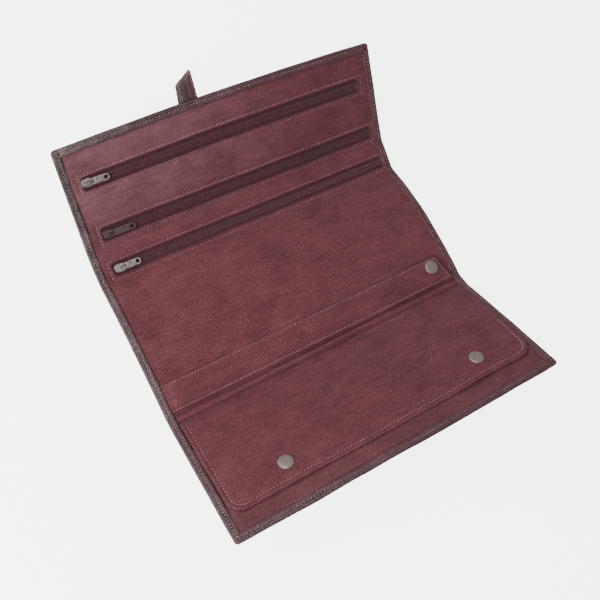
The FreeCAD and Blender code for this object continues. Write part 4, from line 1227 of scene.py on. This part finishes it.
def sew_on(name, row, height, material, attach):
    """Sew one row on one loose piece; attach is handed each new mesh."""
    places, ways = slanted_rows([row])
    lift = height(places[:, 0], places[:, 1]) + STITCH_LIFT
    add_stitches(name, places, ways, lift, material, "suede_lining", attach)
    return len(places)


def rounded_row(left, right, low, high, radius):
    """A row to sew up one side, round two lower corners and along the lower edge."""
    turns = np.radians(np.linspace(0, 90, 8))
    first = [(left + radius - radius * math.cos(turn), low + radius - radius * math.sin(turn))
             for turn in turns]
    second = [(right - radius + radius * math.sin(turn), low + radius - radius * math.cos(turn))
              for turn in turns]
    return [(left, high)] + first + second + [(right, high)]


print("rim steps:", len(RIM_STEPS))

# %% [markdown]
# ### The pocket panel
# The pocket panel is one sheet of suede under the flap, held by the turned edge on three sides.
# It could be cut from the lining's grid, but it is a second layer with a rim of its own, so it is
# a soft sheet whose sides and lower edge dive under the border.

# %% Make the pocket panel
POCKET_SIDE, POCKET_LOW, POCKET_THICK = 112.6 * MM, BORDER - 0.6 * MM, 0.62 * MM
POCKET_SEAM, POCKET_HELD = POCKET_TOP - 3 * MM, 112 * MM
SUEDE_WAVES = make_waves(23)
POCKET_CREASES = (((-112, 10), (-96, 14.5), 0.5), ((-98, 14), (-88, 15), 0.3),
                  ((97, 13.5), (112, 10.5), 0.5))


def pocket_face(u, v, inside):
    return (wave_height(u, v, SUEDE_WAVES, 0.12 * MM) - 0.25 * MM * bell(POCKET_SEAM - v, 0.7 * MM)
            + crease_height(u, v, POCKET_CREASES))


def pocket_under(u, v):
    free = np.minimum(np.minimum(u + POCKET_HELD, POCKET_HELD - u), v - BORDER)
    return 0.05 * MM - 0.3 * MM * (1 - smooth(free / (3 * MM)))


def pocket_top(u, v):
    return pocket_under(u, v) + POCKET_THICK + pocket_face(u, v, 0)


def make_pocket():
    rows = stepped(POCKET_LOW, POCKET_TOP, RIM_STEPS[:9], RIM_STEPS[:10], SHEET_STEP)
    corners = boxed((-POCKET_SIDE, POCKET_SIDE, POCKET_LOW, POCKET_TOP))[:4]
    obj = soft_sheet("pocket_sheet", rows, lambda v: (-POCKET_SIDE, POCKET_SIDE),
                     lambda u, v: edge_distance(u, v, corners), pocket_under, POCKET_THICK, POCKET_SUEDE,
                     pocket_face)
    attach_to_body(obj, "lower_panel")
    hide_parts("pocket_lower")
    count = sew_on("pocket_stitches", [(-110 * MM, POCKET_SEAM), (110 * MM, POCKET_SEAM)], pocket_top,
                   THREAD, lambda piece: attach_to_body(piece, "lower_panel"))
    print("pocket panel:", len(obj.data.polygons), "faces and", count, "stitches")


make_pocket()

# %% [markdown]
# ### The flap
# The flap is two sheets sewn together round their rim. It is held up by its two snaps and sags
# between them. A cloth simulation could find that shape, but the joint needs the flap to lie just
# so at rest, and its underside is simply a smooth hill over each snap. Up its right side the
# thread is dark.

# %% Make the flap
FLAP = {"left": -111.4 * MM, "right": 111.3 * MM, "low": 15.2 * MM, "root": 89.2 * MM, "corner": 11 * MM}
FLAP_SNAPS = ((-69.7 * MM, 29.2 * MM), (73.7 * MM, 29.2 * MM))
FLAP_THICK, FLAP_SEAM, DARK_FROM = 1.45 * MM, 3.2 * MM, 48 * MM
SNAP_RISE, SNAP_HILL = 1.3 * MM, 27 * MM
FLAP_HINGE = ((89.4 * MM, 0.4 * MM), (84.5 * MM, 0.6 * MM))
FLAP_CREASES = (((-108, 84), (-84, 66), 0.45), ((-110, 74), (-92, 58), -0.3), ((-96, 86), (-60, 76), 0.25),
                ((-60, 84), (10, 79), -0.3), ((-106, 86.6), (70, 86), 0.6), ((20, 84), (109, 86.4), 0.5),
                ((-20, 82), (100, 81), -0.35), ((98, 60), (108, 40), 0.25))


def flap_under(u, v):
    """The underside: sewn down at the root, held up over both snaps, sagging between them."""
    out = FLAP["root"] - v
    risen = (0.4 * MM + 0.6 * MM * smooth((out - 1.5 * MM) / (14 * MM))
             - 1.1 * MM * smooth(1 - out / (4 * MM)))
    hill = sum(bell(u - place[0], SNAP_HILL) for place in FLAP_SNAPS)
    held = SNAP_RISE * (0.12 + 0.88 * np.clip(hill, 0, 1))
    return risen + held * smooth((66 * MM - v) / (38 * MM))


def flap_outline(u, v):
    """How far inside the flap's outline a place lies."""
    middle, half = (FLAP["left"] + FLAP["right"]) / 2, (FLAP["right"] - FLAP["left"]) / 2
    across = np.abs(u - middle) - half + FLAP["corner"]
    along = FLAP["low"] + FLAP["corner"] - v
    rim = FLAP["corner"] - (np.hypot(np.maximum(across, 0), np.maximum(along, 0))
                            + np.minimum(np.maximum(across, along), 0))
    return np.minimum(rim, FLAP["root"] - v)


def flap_face(u, v, inside):
    """A swollen rim, the seam's groove, soft waves and a few creases."""
    rim = 0.28 * MM * bell(inside - 1.3 * MM, 1.0 * MM) - 0.34 * MM * bell(inside - FLAP_SEAM, 0.7 * MM)
    return rim + wave_height(u, v, SUEDE_WAVES, 0.2 * MM) + crease_height(u, v, FLAP_CREASES)


def flap_span(v):
    down = max(FLAP["low"] + FLAP["corner"] - v, 0.0)
    drawn = FLAP["corner"] - math.sqrt(max(FLAP["corner"] ** 2 - down ** 2, 0.0))
    return FLAP["left"] + drawn, FLAP["right"] - drawn


def flap_top(u, v):
    return flap_under(u, v) + FLAP_THICK + flap_face(u, v, flap_outline(u, v))


def bend_flap(obj):
    bend_between(obj, ("lower_panel", "flap"), *(on_roll(0.0, v, lift) for v, lift in FLAP_HINGE))


def make_flap():
    rows = stepped(FLAP["low"], FLAP["root"], RIM_STEPS, RIM_STEPS[:5], 2.2 * MM)
    obj = soft_sheet("flap_sheet", rows, flap_span, flap_outline, flap_under, FLAP_THICK, SUEDE, flap_face)
    bend_flap(obj)
    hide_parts("flap_face", "flap_back")
    row = rounded_row(FLAP["left"] + FLAP_SEAM, FLAP["right"] - FLAP_SEAM, FLAP["low"] + FLAP_SEAM,
                      FLAP["root"] - 1.5 * MM, FLAP["corner"] - FLAP_SEAM)
    dark_end = (row[-1][0], DARK_FROM)
    sew_on("flap_sunk_stitches", [row[-1], dark_end], flap_top, DARK_THREAD, bend_flap)
    count = sew_on("flap_stitches", row[:-1] + [dark_end], flap_top, THREAD, bend_flap)
    print("flap:", len(obj.data.polygons), "faces and", count, "stitches")


make_flap()

# %% [markdown]
# ### The ring strap
# The ring strap is a padded tube that rings are threaded on. It is sewn down at its left end,
# its right end is cut at a slant, and one snap holds that end down. Its upper face is a soft
# swell, drawn in at the two rows of stitches.

# %% Make the ring strap
RING = {"left": -111.9 * MM, "right": 110.0 * MM, "low": 97.8 * MM, "high": 117.3 * MM, "slant": 7.0 * MM}
RING_SNAP = (96.6 * MM, 110.65 * MM)
RING_THICK, RING_SEAM = 1.85 * MM, 1.5 * MM
RING_HINGE = ((-113 * MM, 107.5 * MM), (-105.5 * MM, 107.5 * MM))
RING_SLOPE = RING["slant"] / (RING["high"] - RING["low"])
RING_CORNERS = [(RING["left"], RING["low"]), (RING["right"], RING["low"]),
                (RING["right"] - RING["slant"], RING["high"]), (RING["left"], RING["high"])]


def ring_distance(u, v):
    return edge_distance(u, v, RING_CORNERS)


def ring_pressed(u, v, width):
    """1 round the snap, which presses the padding flat."""
    return bell(np.hypot(u - RING_SNAP[0], v - RING_SNAP[1]), width, 4)


def ring_under(u, v):
    sewn_down = 0.7 * MM * smooth(1 - (u - RING["left"]) / (9 * MM))
    return 0.5 * MM + 1.05 * MM * bell(u - RING_SNAP[0], 30 * MM) - sewn_down


def ring_thickness(u, v):
    """Thin at the sewn rim, thick over the padding, and pressed flat round the snap."""
    inside = np.clip(ring_distance(u, v), 0, None)
    padded = smooth((inside - RING_SEAM) / (5.5 * MM))
    return RING_THICK * (0.62 + 0.38 * np.maximum(padded, ring_pressed(u, v, 9 * MM)))


def ring_face(u, v, inside):
    return (wave_height(u, v, SUEDE_WAVES, 0.16 * MM) - 0.3 * MM * bell(inside - RING_SEAM, 0.55 * MM)
            - 0.35 * MM * ring_pressed(u, v, 8 * MM))


def ring_top(u, v):
    return ring_under(u, v) + ring_thickness(u, v) + ring_face(u, v, ring_distance(u, v))


def bend_ring(obj):
    bend_between(obj, ("root", "ring_strap"), *(on_roll(*place) for place in RING_HINGE))


def make_ring_strap():
    rows = stepped(RING["low"], RING["high"], RIM_STEPS[:9], RIM_STEPS[:9], 1.4 * MM)
    obj = soft_sheet("ring_strap_pad", rows,
                     lambda v: (RING["left"], RING["right"] - RING_SLOPE * (v - RING["low"])),
                     ring_distance, ring_under, ring_thickness, SUEDE, ring_face)
    bend_ring(obj)
    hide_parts("ring_strap_face", "ring_strap_core", "ring_strap_back")
    low, high = RING["low"] + RING_SEAM, RING["high"] - RING_SEAM
    right = RING["right"] - RING_SEAM - 0.5 * MM
    row = [(RING["left"], low), (right, low), (right - RING_SLOPE * (high - low), high),
           (RING["left"], high)]
    sew_on("ring_stitches", row, ring_top, THREAD, bend_ring)
    print("ring strap:", len(obj.data.polygons), "faces")


make_ring_strap()

# %% [markdown]
# ## Snaps
# A snap is three turned pieces: a lacquered cap on the face, a socket under it, and a stud on the
# leather below. Each is a profile turned about its axis. The axis and the middle are read from
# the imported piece, so that the snaps still shut on each other.

# %% Turn the snaps
TURN_STEPS = 56
CAP_PROFILE = ((0.0, 0.62), (1.6, 0.61), (3.0, 0.57), (3.9, 0.46), (4.45, 0.28), (4.8, 0.02),
               (4.98, -0.25), (5.0, -0.5), (4.7, -0.62), (0.0, -0.62))
SOCKET_PROFILE = ((0.0, 0.5), (3.9, 0.5), (4.15, 0.35), (4.2, 0.0), (4.1, -0.35), (3.8, -0.5), (2.7, -0.5),
                  (2.35, -0.3), (2.2, 0.1), (2.0, 0.2), (0.0, 0.2))
STUD_PROFILE = ((0.0, 0.48), (1.3, 0.46), (1.7, 0.36), (1.85, 0.15), (1.75, -0.05), (1.6, -0.2),
                (2.1, -0.23), (3.9, -0.25), (4.15, -0.32), (4.2, -0.46), (0.0, -0.47))
SNAPS = (("flap_cap_left", "flap_socket_left", "flap_stud_left", "flap", "lower_panel"),
         ("flap_cap_right", "flap_socket_right", "flap_stud_right", "flap", "lower_panel"),
         ("ring_cap", "ring_socket", "ring_stud", "ring_strap", "root"))


def packed_points(node):
    obj = frame["nodes"][node]
    points = np.array([vertex.co for vertex in obj.data.vertices])
    matrix = np.array(obj.matrix_world)
    return points @ matrix[:3, :3].T + matrix[:3, 3]


def turning_axis(points):
    """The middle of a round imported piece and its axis, pointing up or away from the roll."""
    axis = np.linalg.svd(points - points.mean(axis=0), full_matrices=False)[2][-1]
    return (points.max(axis=0) + points.min(axis=0)) / 2, axis * (1 if axis[2] > 0 else -1)


def make_turned(node, profile, body, material, slot, flip=1.0, aside=0.0):
    """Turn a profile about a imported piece's axis; flip turns it over, aside moves it across."""
    packed = packed_points(node)
    middle, axis = turning_axis(packed)
    axis = axis * flip
    top = ((packed - middle) @ axis).max() - profile[0][1] * MM
    side = np.cross(axis, (1.0, 0.0, 0.0) if abs(axis[0]) < 0.9 else (0.0, 1.0, 0.0))
    side /= np.linalg.norm(side)
    turns = 2 * math.pi * np.arange(TURN_STEPS) / TURN_STEPS
    spokes = np.cos(turns)[:, None] * side + np.sin(turns)[:, None] * np.cross(axis, side)
    radii, heights = np.array(profile).T * MM
    points = (middle + np.array([aside, 0.0, 0.0]) + axis * top + heights[:, None, None] * axis
              + radii[:, None, None] * spokes)
    row, column = np.meshgrid(np.arange(len(profile) - 1), np.arange(TURN_STEPS), indexing="ij")
    here, following = row * TURN_STEPS + column, row * TURN_STEPS + (column + 1) % TURN_STEPS
    faces = np.stack([here, here + TURN_STEPS, following + TURN_STEPS, following], -1).reshape(-1, 4)
    obj = add_mesh(node + "_turned", points, faces, material, slot, merge=MERGE)
    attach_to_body(obj, body)
    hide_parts(node)


for cap, socket, stud, loose, fixed in SNAPS:
    make_turned(cap, CAP_PROFILE, loose, CAP_LACQUER, "snap_cap")
    make_turned(socket, SOCKET_PROFILE, loose, STEEL, "snap_metal")
    make_turned(stud, STUD_PROFILE, fixed, STEEL, "snap_metal")
print("snaps:", len(SNAPS))

# %% [markdown]
# ## Cast plates
# Sliders and pulls are die-cast, with soft rims and holes. Boxes would lose that look, and boxes
# with holes cut by a boolean would have sharp rims. So each plate is a flat curve with its holes,
# given a thickness and a rounded rim by the curve's own bevel.

# %% Cut plates with rounded rims
TURN_POINTS, BEVEL_STEPS = 14, 2


def arc(x, y, radius, start, end, count=TURN_POINTS):
    turns = np.radians(np.linspace(start, end, count))
    return [(x + radius * math.cos(turn), y + radius * math.sin(turn)) for turn in turns]


def cut_plate(outlines, low, high, rim, standing=False):
    """A plate with holes and rounded rims, in mm; a standing one is cut across the pull's way."""
    curve = bpy.data.curves.new("plate", "CURVE")
    curve.dimensions, curve.fill_mode = "2D", "BOTH"
    curve.extrude, curve.bevel_depth, curve.offset = (high - low) / 2 - rim, rim, -rim
    curve.bevel_resolution = BEVEL_STEPS
    for outline in outlines:
        spline = curve.splines.new("POLY")
        spline.points.add(len(outline) - 1)
        for point, place in zip(spline.points, outline):
            point.co = (*place, 0, 1)
        spline.use_cyclic_u = True
    holder = bpy.data.objects.new("plate", curve)
    scene.collection.objects.link(holder)
    mesh = bpy.data.meshes.new_from_object(holder.evaluated_get(bpy.context.evaluated_depsgraph_get()))
    points = np.array([vertex.co for vertex in mesh.vertices]) + (0, 0, (low + high) / 2)
    faces = [tuple(face.vertices) for face in mesh.polygons]
    bpy.data.objects.remove(holder)
    bpy.data.curves.remove(curve)
    bpy.data.meshes.remove(mesh)
    if standing:
        points, faces = points[:, [0, 2, 1]], [face[::-1] for face in faces]
    return points, faces


def join_parts(parts):
    points, faces, start = [], [], 0
    for part_points, part_faces in parts:
        points.append(part_points)
        faces += [tuple(index + start for index in face) for face in part_faces]
        start += len(part_points)
    return np.concatenate(points), faces


print("points of a round nose:", len(arc(0, 0, 1, 90, 270)))

# %% [markdown]
# ## Sliders and pulls
# A slider is a shell with a rounded nose and two side walls that hold the coils. A bail stands on
# its back, and the pull's eye hangs on the bail. All three could be one piece, but the pull
# swings, so it is a piece of its own. Both are made round the pull's packed hinge, in
# millimetres, and then laid on the roll, so that the pull still swings clear.

# %% Cast the sliders and pulls
PLATE_UNDER, PLATE_TOP = -1.35, -0.62
WALL_FOOT, BAIL_FOOT = PLATE_UNDER - 1.05, PLATE_UNDER + 0.5
PULL_LENGTHS = {"top": 14.6, "middle": 18.4, "lower": 14.6}


def slider_parts():
    """The shell's upper plate with its nose, two side walls, and the bail."""
    shell = arc(-0.9, 0.0, 2.65, 90, 270) + [(0.6, -2.8), (2.4, -2.65), (3.3, -2.2), (3.7, -1.3),
                                             (3.7, 1.3), (3.3, 2.2), (2.4, 2.65), (0.6, 2.8)]
    walls = [[(-0.2, side * 2.15), (3.0, side * 2.15), (3.0, side * 2.55), (-0.2, side * 2.7)]
             for side in (-1, 1)]
    bail = ([(-2.5, BAIL_FOOT)] + arc(-1.4, 0.15, 1.1, 180, 90, 6) + arc(0.9, 0.15, 1.1, 90, 0, 6)
            + [(2.0, BAIL_FOOT), (1.4, BAIL_FOOT)] + arc(0.8, 0.1, 0.6, 0, 90, 5)
            + arc(-1.3, 0.1, 0.6, 90, 180, 5) + [(-1.9, BAIL_FOOT)])
    return join_parts([cut_plate([shell], PLATE_UNDER, PLATE_TOP, 0.2)]
                      + [cut_plate([wall], WALL_FOOT, PLATE_UNDER + 0.2, 0.08) for wall in walls]
                      + [cut_plate([bail], -0.45, 0.45, 0.12, standing=True)])


def pull_parts(length):
    """A flat pull with the eye that hangs on the bail, a hole near its tip and a pressed field."""
    tip = length - 1.7
    outline = ([(-0.45, -1.95), (3.6, -2.05), (5.2, -2.25)] + arc(tip, -0.55, 1.7, -90, 0, 8)
               + arc(tip, 0.55, 1.7, 0, 90, 8) + [(5.2, 2.25), (3.6, 2.05), (-0.45, 1.95)])
    eye = (arc(0.95, 0.75, 0.5, 180, 90, 4) + arc(3.7, 0.75, 0.5, 90, 0, 4)
           + arc(3.7, -0.75, 0.5, 0, -90, 4) + arc(0.95, -0.75, 0.5, -90, -180, 4))
    hole = arc(length - 2.1, 0.0, 1.35, 0, 345, 18)
    pressed = boxed((5.4, length - 4.6, -1.25, 1.25))[:4]
    return join_parts([cut_plate([outline, eye, hole], -0.4, 0.4, 0.18),
                       cut_plate([pressed], 0.3, 0.52, 0.09)])


def place_parts(node, joint, parts, body, material, slot):
    """Lay parts made round the pull's hinge on to the roll."""
    points, faces = parts
    across = np.array(joint["axis"], float) * (-1 if joint["axis"][1] < 0 else 1)
    along = np.array([1.0, 0.0, 0.0])
    axes = np.array([along, across, np.cross(along, across)])
    obj = add_mesh(node + "_cast", np.array(joint["pos_m"]) + points * MM @ axes, faces, material, slot)
    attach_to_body(obj, body)
    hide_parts(node)
    obj.data.polygons.foreach_set("use_smooth", [len(face) < 6 for face in faces])
    obj.modifiers.new("hard_edges", "WEIGHTED_NORMAL").keep_sharp = True


for name, length in PULL_LENGTHS.items():
    # The middle slider and pull are nickel in shadow, painted darker as shade with the taupe finish.
    finish, slot = (TAUPE_AND_SHADED_METAL, "dark_metal") if name == "middle" else (NICKEL, "bright_metal")
    joint = joints[name + "_pull_swing"]
    place_parts(name + "_slider", joint, slider_parts(), name + "_slider", finish, slot)
    place_parts(name + "_pull", joint, pull_parts(length), name + "_pull", finish, slot)
    for part_slot in frame["nodes"][name + "_zip_stops"].material_slots:
        part_slot.material = TAUPE_AND_SHADED_METAL
print("sliders and pulls:", 2 * len(PULL_LENGTHS))

# %% [markdown]
# ## The closure strap
# The strap is sewn to the roll's back, stands up past the top edge and folds over. It was creased
# at a slant, so its fold is a slanted line. A bent box would show a straight fold, so the strap is
# swept: every lengthwise line of it runs straight, round a small arc and straight down, and the
# arc starts later towards the right side. Because of the slant the hanging end leans aside, and
# the snap on it moves with it.

# %% Find the strap's places
STRAIGHT, BENT, HANGING = range(3)
STRAP_HALF, STRAP_THICK, STRAP_ROUND = 6.0 * MM, 1.6 * MM, 1.6 * MM
STRAP_SLANT, STRAP_LEAN = 3.65 * MM, 0.175
STRAP_TILT, STRAP_TURN = math.radians(45), math.radians(135)
STRAP_FREE = 7 * MM
STRAP_MIDDLE_U = joints["strap_hang_bend"]["pos_m"][0]


def strap_line():
    """The hinge on the strap's middle plane, the hanging plane's y and the tip's z."""
    hinge = np.array(joints["strap_root_bend"]["pos_m"][1:])
    tip = packed_points("strap_tip")
    root = packed_points("strap_root")[:, 1:]
    middle = (root.max(axis=0) + root.min(axis=0)) / 2
    along = np.array([math.cos(STRAP_TILT), math.sin(STRAP_TILT)])
    return (middle + along * ((hinge - middle) @ along), (tip[:, 1].min() + tip[:, 1].max()) / 2,
            tip[:, 2].min())


STRAP_BASE, STRAP_HANG_Y, STRAP_TIP_Z = strap_line()


def bend_start(w):
    """How far up its straight run each lengthwise line of the strap starts to bend."""
    reach = (STRAP_HANG_Y - STRAP_BASE[0]) / math.cos(STRAP_TILT) + STRAP_SLANT * w / STRAP_HALF
    return reach - STRAP_ROUND * math.tan(STRAP_TURN / 2)


def on_strap(w, stage, share, lift):
    """A place on the strap, w across it. share: metres along its straight run, a share of its
    bend or of its hanging end."""
    w, share, lift = np.broadcast_arrays(np.asarray(w, float), share, lift)
    run = share if stage == STRAIGHT else bend_start(w)
    slope = STRAP_TILT - STRAP_TURN * (0, share, 1)[stage]
    y = STRAP_BASE[0] + run * math.cos(STRAP_TILT) + STRAP_ROUND * (math.sin(STRAP_TILT) - np.sin(slope))
    z = STRAP_BASE[1] + run * math.sin(STRAP_TILT) - STRAP_ROUND * (math.cos(STRAP_TILT) - np.cos(slope))
    across = STRAP_MIDDLE_U + w
    if stage == HANGING:
        top = z
        y = y + (STRAP_HANG_Y - y) * smooth(share)
        z = z + (STRAP_TIP_Z - z) * share
        across = across + STRAP_LEAN * (top - z)
    place = np.stack([across, y - lift * np.sin(slope), z + lift * np.cos(slope)], -1)
    if stage == STRAIGHT:
        on_back = smooth(-run / STRAP_FREE)[..., None]
        flat_v = TOP_EDGE - 1 * MM + np.minimum(run, 0)
        sewn_on = on_roll(across, flat_v, BACK_LIFT - STRAP_THICK / 2 - 0.05 * MM + lift)
        place = place * (1 - on_back) + sewn_on * on_back
    return place


print("the strap's tip hangs %.0f mm over the floor" % (STRAP_TIP_Z / MM))

# %% [markdown]
# ### The strap's three lengths
# The strap bends at three joints, so it is made in three lengths, one for each joint. It is
# doubled leather, closed all round, rolled at its rims, grooved by its seams and rounded at its
# tip. A lattice could bend one straight strap, but it would stretch the stitches, so these are
# laid along the folded shape.

# %% Make the strap's lengths
STRAP_HANG, STRAP_CORNER = 32 * MM, 5 * MM
STRAP_SEAM, STRAP_SEWN = 4.7 * MM, 0.44 * STRAP_THICK
STRAP_START, STRAP_LOOSE = -23.5 * MM, 5.0 * MM
TIP_STEPS = 1 - np.array([4.2, 3.2, 2.3, 1.5, 0.9, 0.45, 0.15, 0.0]) / 32


def to_tip(stage, share):
    """How far a place on the hanging end is from the tip; elsewhere the tip is far off."""
    return (1 - share) * STRAP_HANG if stage == HANGING else math.inf


def strap_rows(rows, lift_sign):
    """One face of the strap, row by row: rolled at its rims, grooved by its three seams."""
    columns = stepped(-1.0, 1.0, RIM_STEPS[:8] / STRAP_HALF, RIM_STEPS[:8] / STRAP_HALF, 0.16)
    points, flat = [], []
    for stage, share in rows:
        left = max(STRAP_CORNER - to_tip(stage, share), 0.0)
        half = STRAP_HALF - STRAP_CORNER + math.sqrt(STRAP_CORNER ** 2 - left ** 2)
        w = columns * half
        roll = rolled(np.minimum(half - np.abs(w), to_tip(stage, share)), 0.8 * MM)
        groove = 0.22 * MM * (bell(half - np.abs(w) - 1.3 * MM, 0.5 * MM) + 1.4 * bell(w, 0.35 * MM))
        points.append(on_strap(w, stage, share, lift_sign * roll * (STRAP_THICK / 2 - groove)))
        travel = points[-1][len(w) // 2, 2] - STRAP_BASE[1] + (30 * MM if stage == HANGING else 0)
        flat.append(np.stack([w, np.full(len(w), travel)], -1))
    return np.array(points), np.array(flat)


def sew_strap(name, rows):
    """Stitches along both seams of the strap, on its upper and lower face."""
    rings = []
    for w, lift in [(side * STRAP_SEAM, face * STRAP_SEWN) for side in (-1, 1) for face in (1, -1)]:
        line = np.array([on_strap(w, stage, share, lift) for stage, share in rows
                         if stage != HANGING or share < 0.9])
        gone = np.concatenate([[0], np.cumsum(np.linalg.norm(np.diff(line, axis=0), axis=1))])
        middles = np.arange(STITCH_PITCH / 2, gone[-1], STITCH_PITCH)
        spots = [middles + along * STITCH_LENGTH for along, rise, radius in STITCH_RINGS]
        rings.append(np.stack([np.stack([np.interp(spot, gone, line[:, axis]) for axis in range(3)], -1)
                               for spot in spots], axis=1))
    points, faces = tube_mesh(np.concatenate(rings), STITCH_RADII)
    return add_mesh(name + "_stitches", points, faces, THREAD, "strap_leather")


def strap_piece(name, rows, bodies, hinge, nodes):
    """A length of the strap, closed all round; rows and hinge are (stage, share) pairs."""
    upper, flat = strap_rows(rows, 1)
    lower = strap_rows(rows, -1)[0]
    shape = upper.shape[:2]
    faces = np.concatenate([grid_faces(*shape), grid_faces(*shape, start=shape[0] * shape[1])[:, ::-1]])
    obj = add_mesh(name, [upper, lower], faces, STRAP_LEATHER, "strap_leather", [flat, flat],
                   merge=FINE_MERGE)
    threads = sew_strap(name, rows)
    for piece in (obj, threads):
        bend_between(piece, bodies, *(on_strap(0.0, stage, share, 0.0) for stage, share in hinge))
    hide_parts(*nodes)
    middle = np.array([on_strap(0.0, stage, share, 0.0) for stage, share in rows])


def fold_strap():
    straight = [(STRAIGHT, run) for run in np.linspace(STRAP_START, STRAP_LOOSE, 24)]
    bent = [(STRAIGHT, STRAP_LOOSE)] + [(BENT, share) for share in np.linspace(0, 1, 11)]
    hanging = [(HANGING, share) for share in np.linspace(0, 0.5, 10)[1:]]
    tip = [(HANGING, share) for share in np.concatenate([np.linspace(0.5, 0.82, 6), TIP_STEPS])]
    strap_piece("strap_sewn", straight, ("upper_panel", "strap_root"),
                ((STRAIGHT, -0.4 * MM), (STRAIGHT, 2.4 * MM)), ("strap_anchor", "strap_root"))
    strap_piece("strap_fold", bent + hanging, ("strap_root", "strap_hang"),
                ((STRAIGHT, bend_start(0.0) - 1.2 * MM), (HANGING, 0.1)), ("strap_hang",))
    strap_piece("strap_end", tip, ("strap_hang", "strap_tip"), ((HANGING, 0.52), (HANGING, 0.64)),
                ("strap_tip",))


fold_strap()

# %% [markdown]
# ### The closure's snap
# The cap and the socket sit on the strap's tip, and the stud on the back of the lower fold. They
# are the same turned pieces as before. The strap leans aside, so all three are moved by as much
# as it leans at the cap, and they still meet when the roll is shut.

# %% Turn the closure's snap
leaning = STRAP_LEAN * (on_strap(0.0, HANGING, 0.0, 0.0)[2] - packed_points("closure_cap")[:, 2].mean())
make_turned("closure_cap", CAP_PROFILE, "strap_tip", CAP_LACQUER, "snap_cap", -1.0, leaning)
make_turned("closure_socket", SOCKET_PROFILE, "strap_tip", STEEL, "snap_metal", 1.0, leaning)
make_turned("closure_stud", STUD_PROFILE, "lower_fold", STEEL, "snap_metal", -1.0, leaning)
print("the snap leans %.1f mm aside" % (leaning / MM))

# %% [markdown]
# ## Floor and light
# The roll lies on a plain white surface under soft light from the window side. A white floor
# alone looks grey beside the lit leather, and a glowing one would light the roll's underside. So
# the floor glows strongly as the camera sees it, and only a little for all other light.

# %% Light the scene
FLOOR_HALF, FLOOR_WHITE, FLOOR_ROUGHNESS = 1500 * MM, (0.93, 0.93, 0.93, 1), 0.9
FLOOR_GLOW, FLOOR_SEEN_GLOW = 0.3, 4.2
LIGHTS = (("window", (-600, -260, 620), 0.8, 12.5), ("back", (-350, 480, 700), 0.9, 7.0))
ROOM_STRENGTH = 0.4


def make_floor():
    points = [(x * FLOOR_HALF, y * FLOOR_HALF, 0) for x, y in ((-1, -1), (1, -1), (1, 1), (-1, 1))]
    material = bpy.data.materials.new("white_table")
    material.use_nodes = True
    tree = material.node_tree
    shader = tree.nodes["Principled BSDF"]
    shader.inputs["Base Color"].default_value = FLOOR_WHITE
    shader.inputs["Roughness"].default_value = FLOOR_ROUGHNESS
    shader.inputs["Emission Color"].default_value = (1, 1, 1, 1)
    seen = add_node(tree, "LightPath").outputs["Is Camera Ray"]
    glow = stretch_range(tree, seen, 0.0, 1.0, FLOOR_GLOW, FLOOR_SEEN_GLOW)
    tree.links.new(glow, shader.inputs["Emission Strength"])
    add_mesh("floor", points, [(0, 1, 2, 3)], material)


def add_light(name, place, size, power):
    data = bpy.data.lights.new(name, "AREA")
    data.shape, data.size, data.energy = "DISK", size, power
    light = bpy.data.objects.new(name, data)
    light.matrix_world = aimed(Vector(place) * MM, Vector((0, 0, 0)))
    scene.collection.objects.link(light)


make_floor()
for light in LIGHTS:
    add_light(*light)
world = bpy.data.worlds.new("room")
world.use_nodes = True
world.node_tree.nodes["Background"].inputs["Color"].default_value = (1, 1, 1, 1)
world.node_tree.nodes["Background"].inputs["Strength"].default_value = ROOM_STRENGTH
scene.world = world
print("lights:", len(LIGHTS))
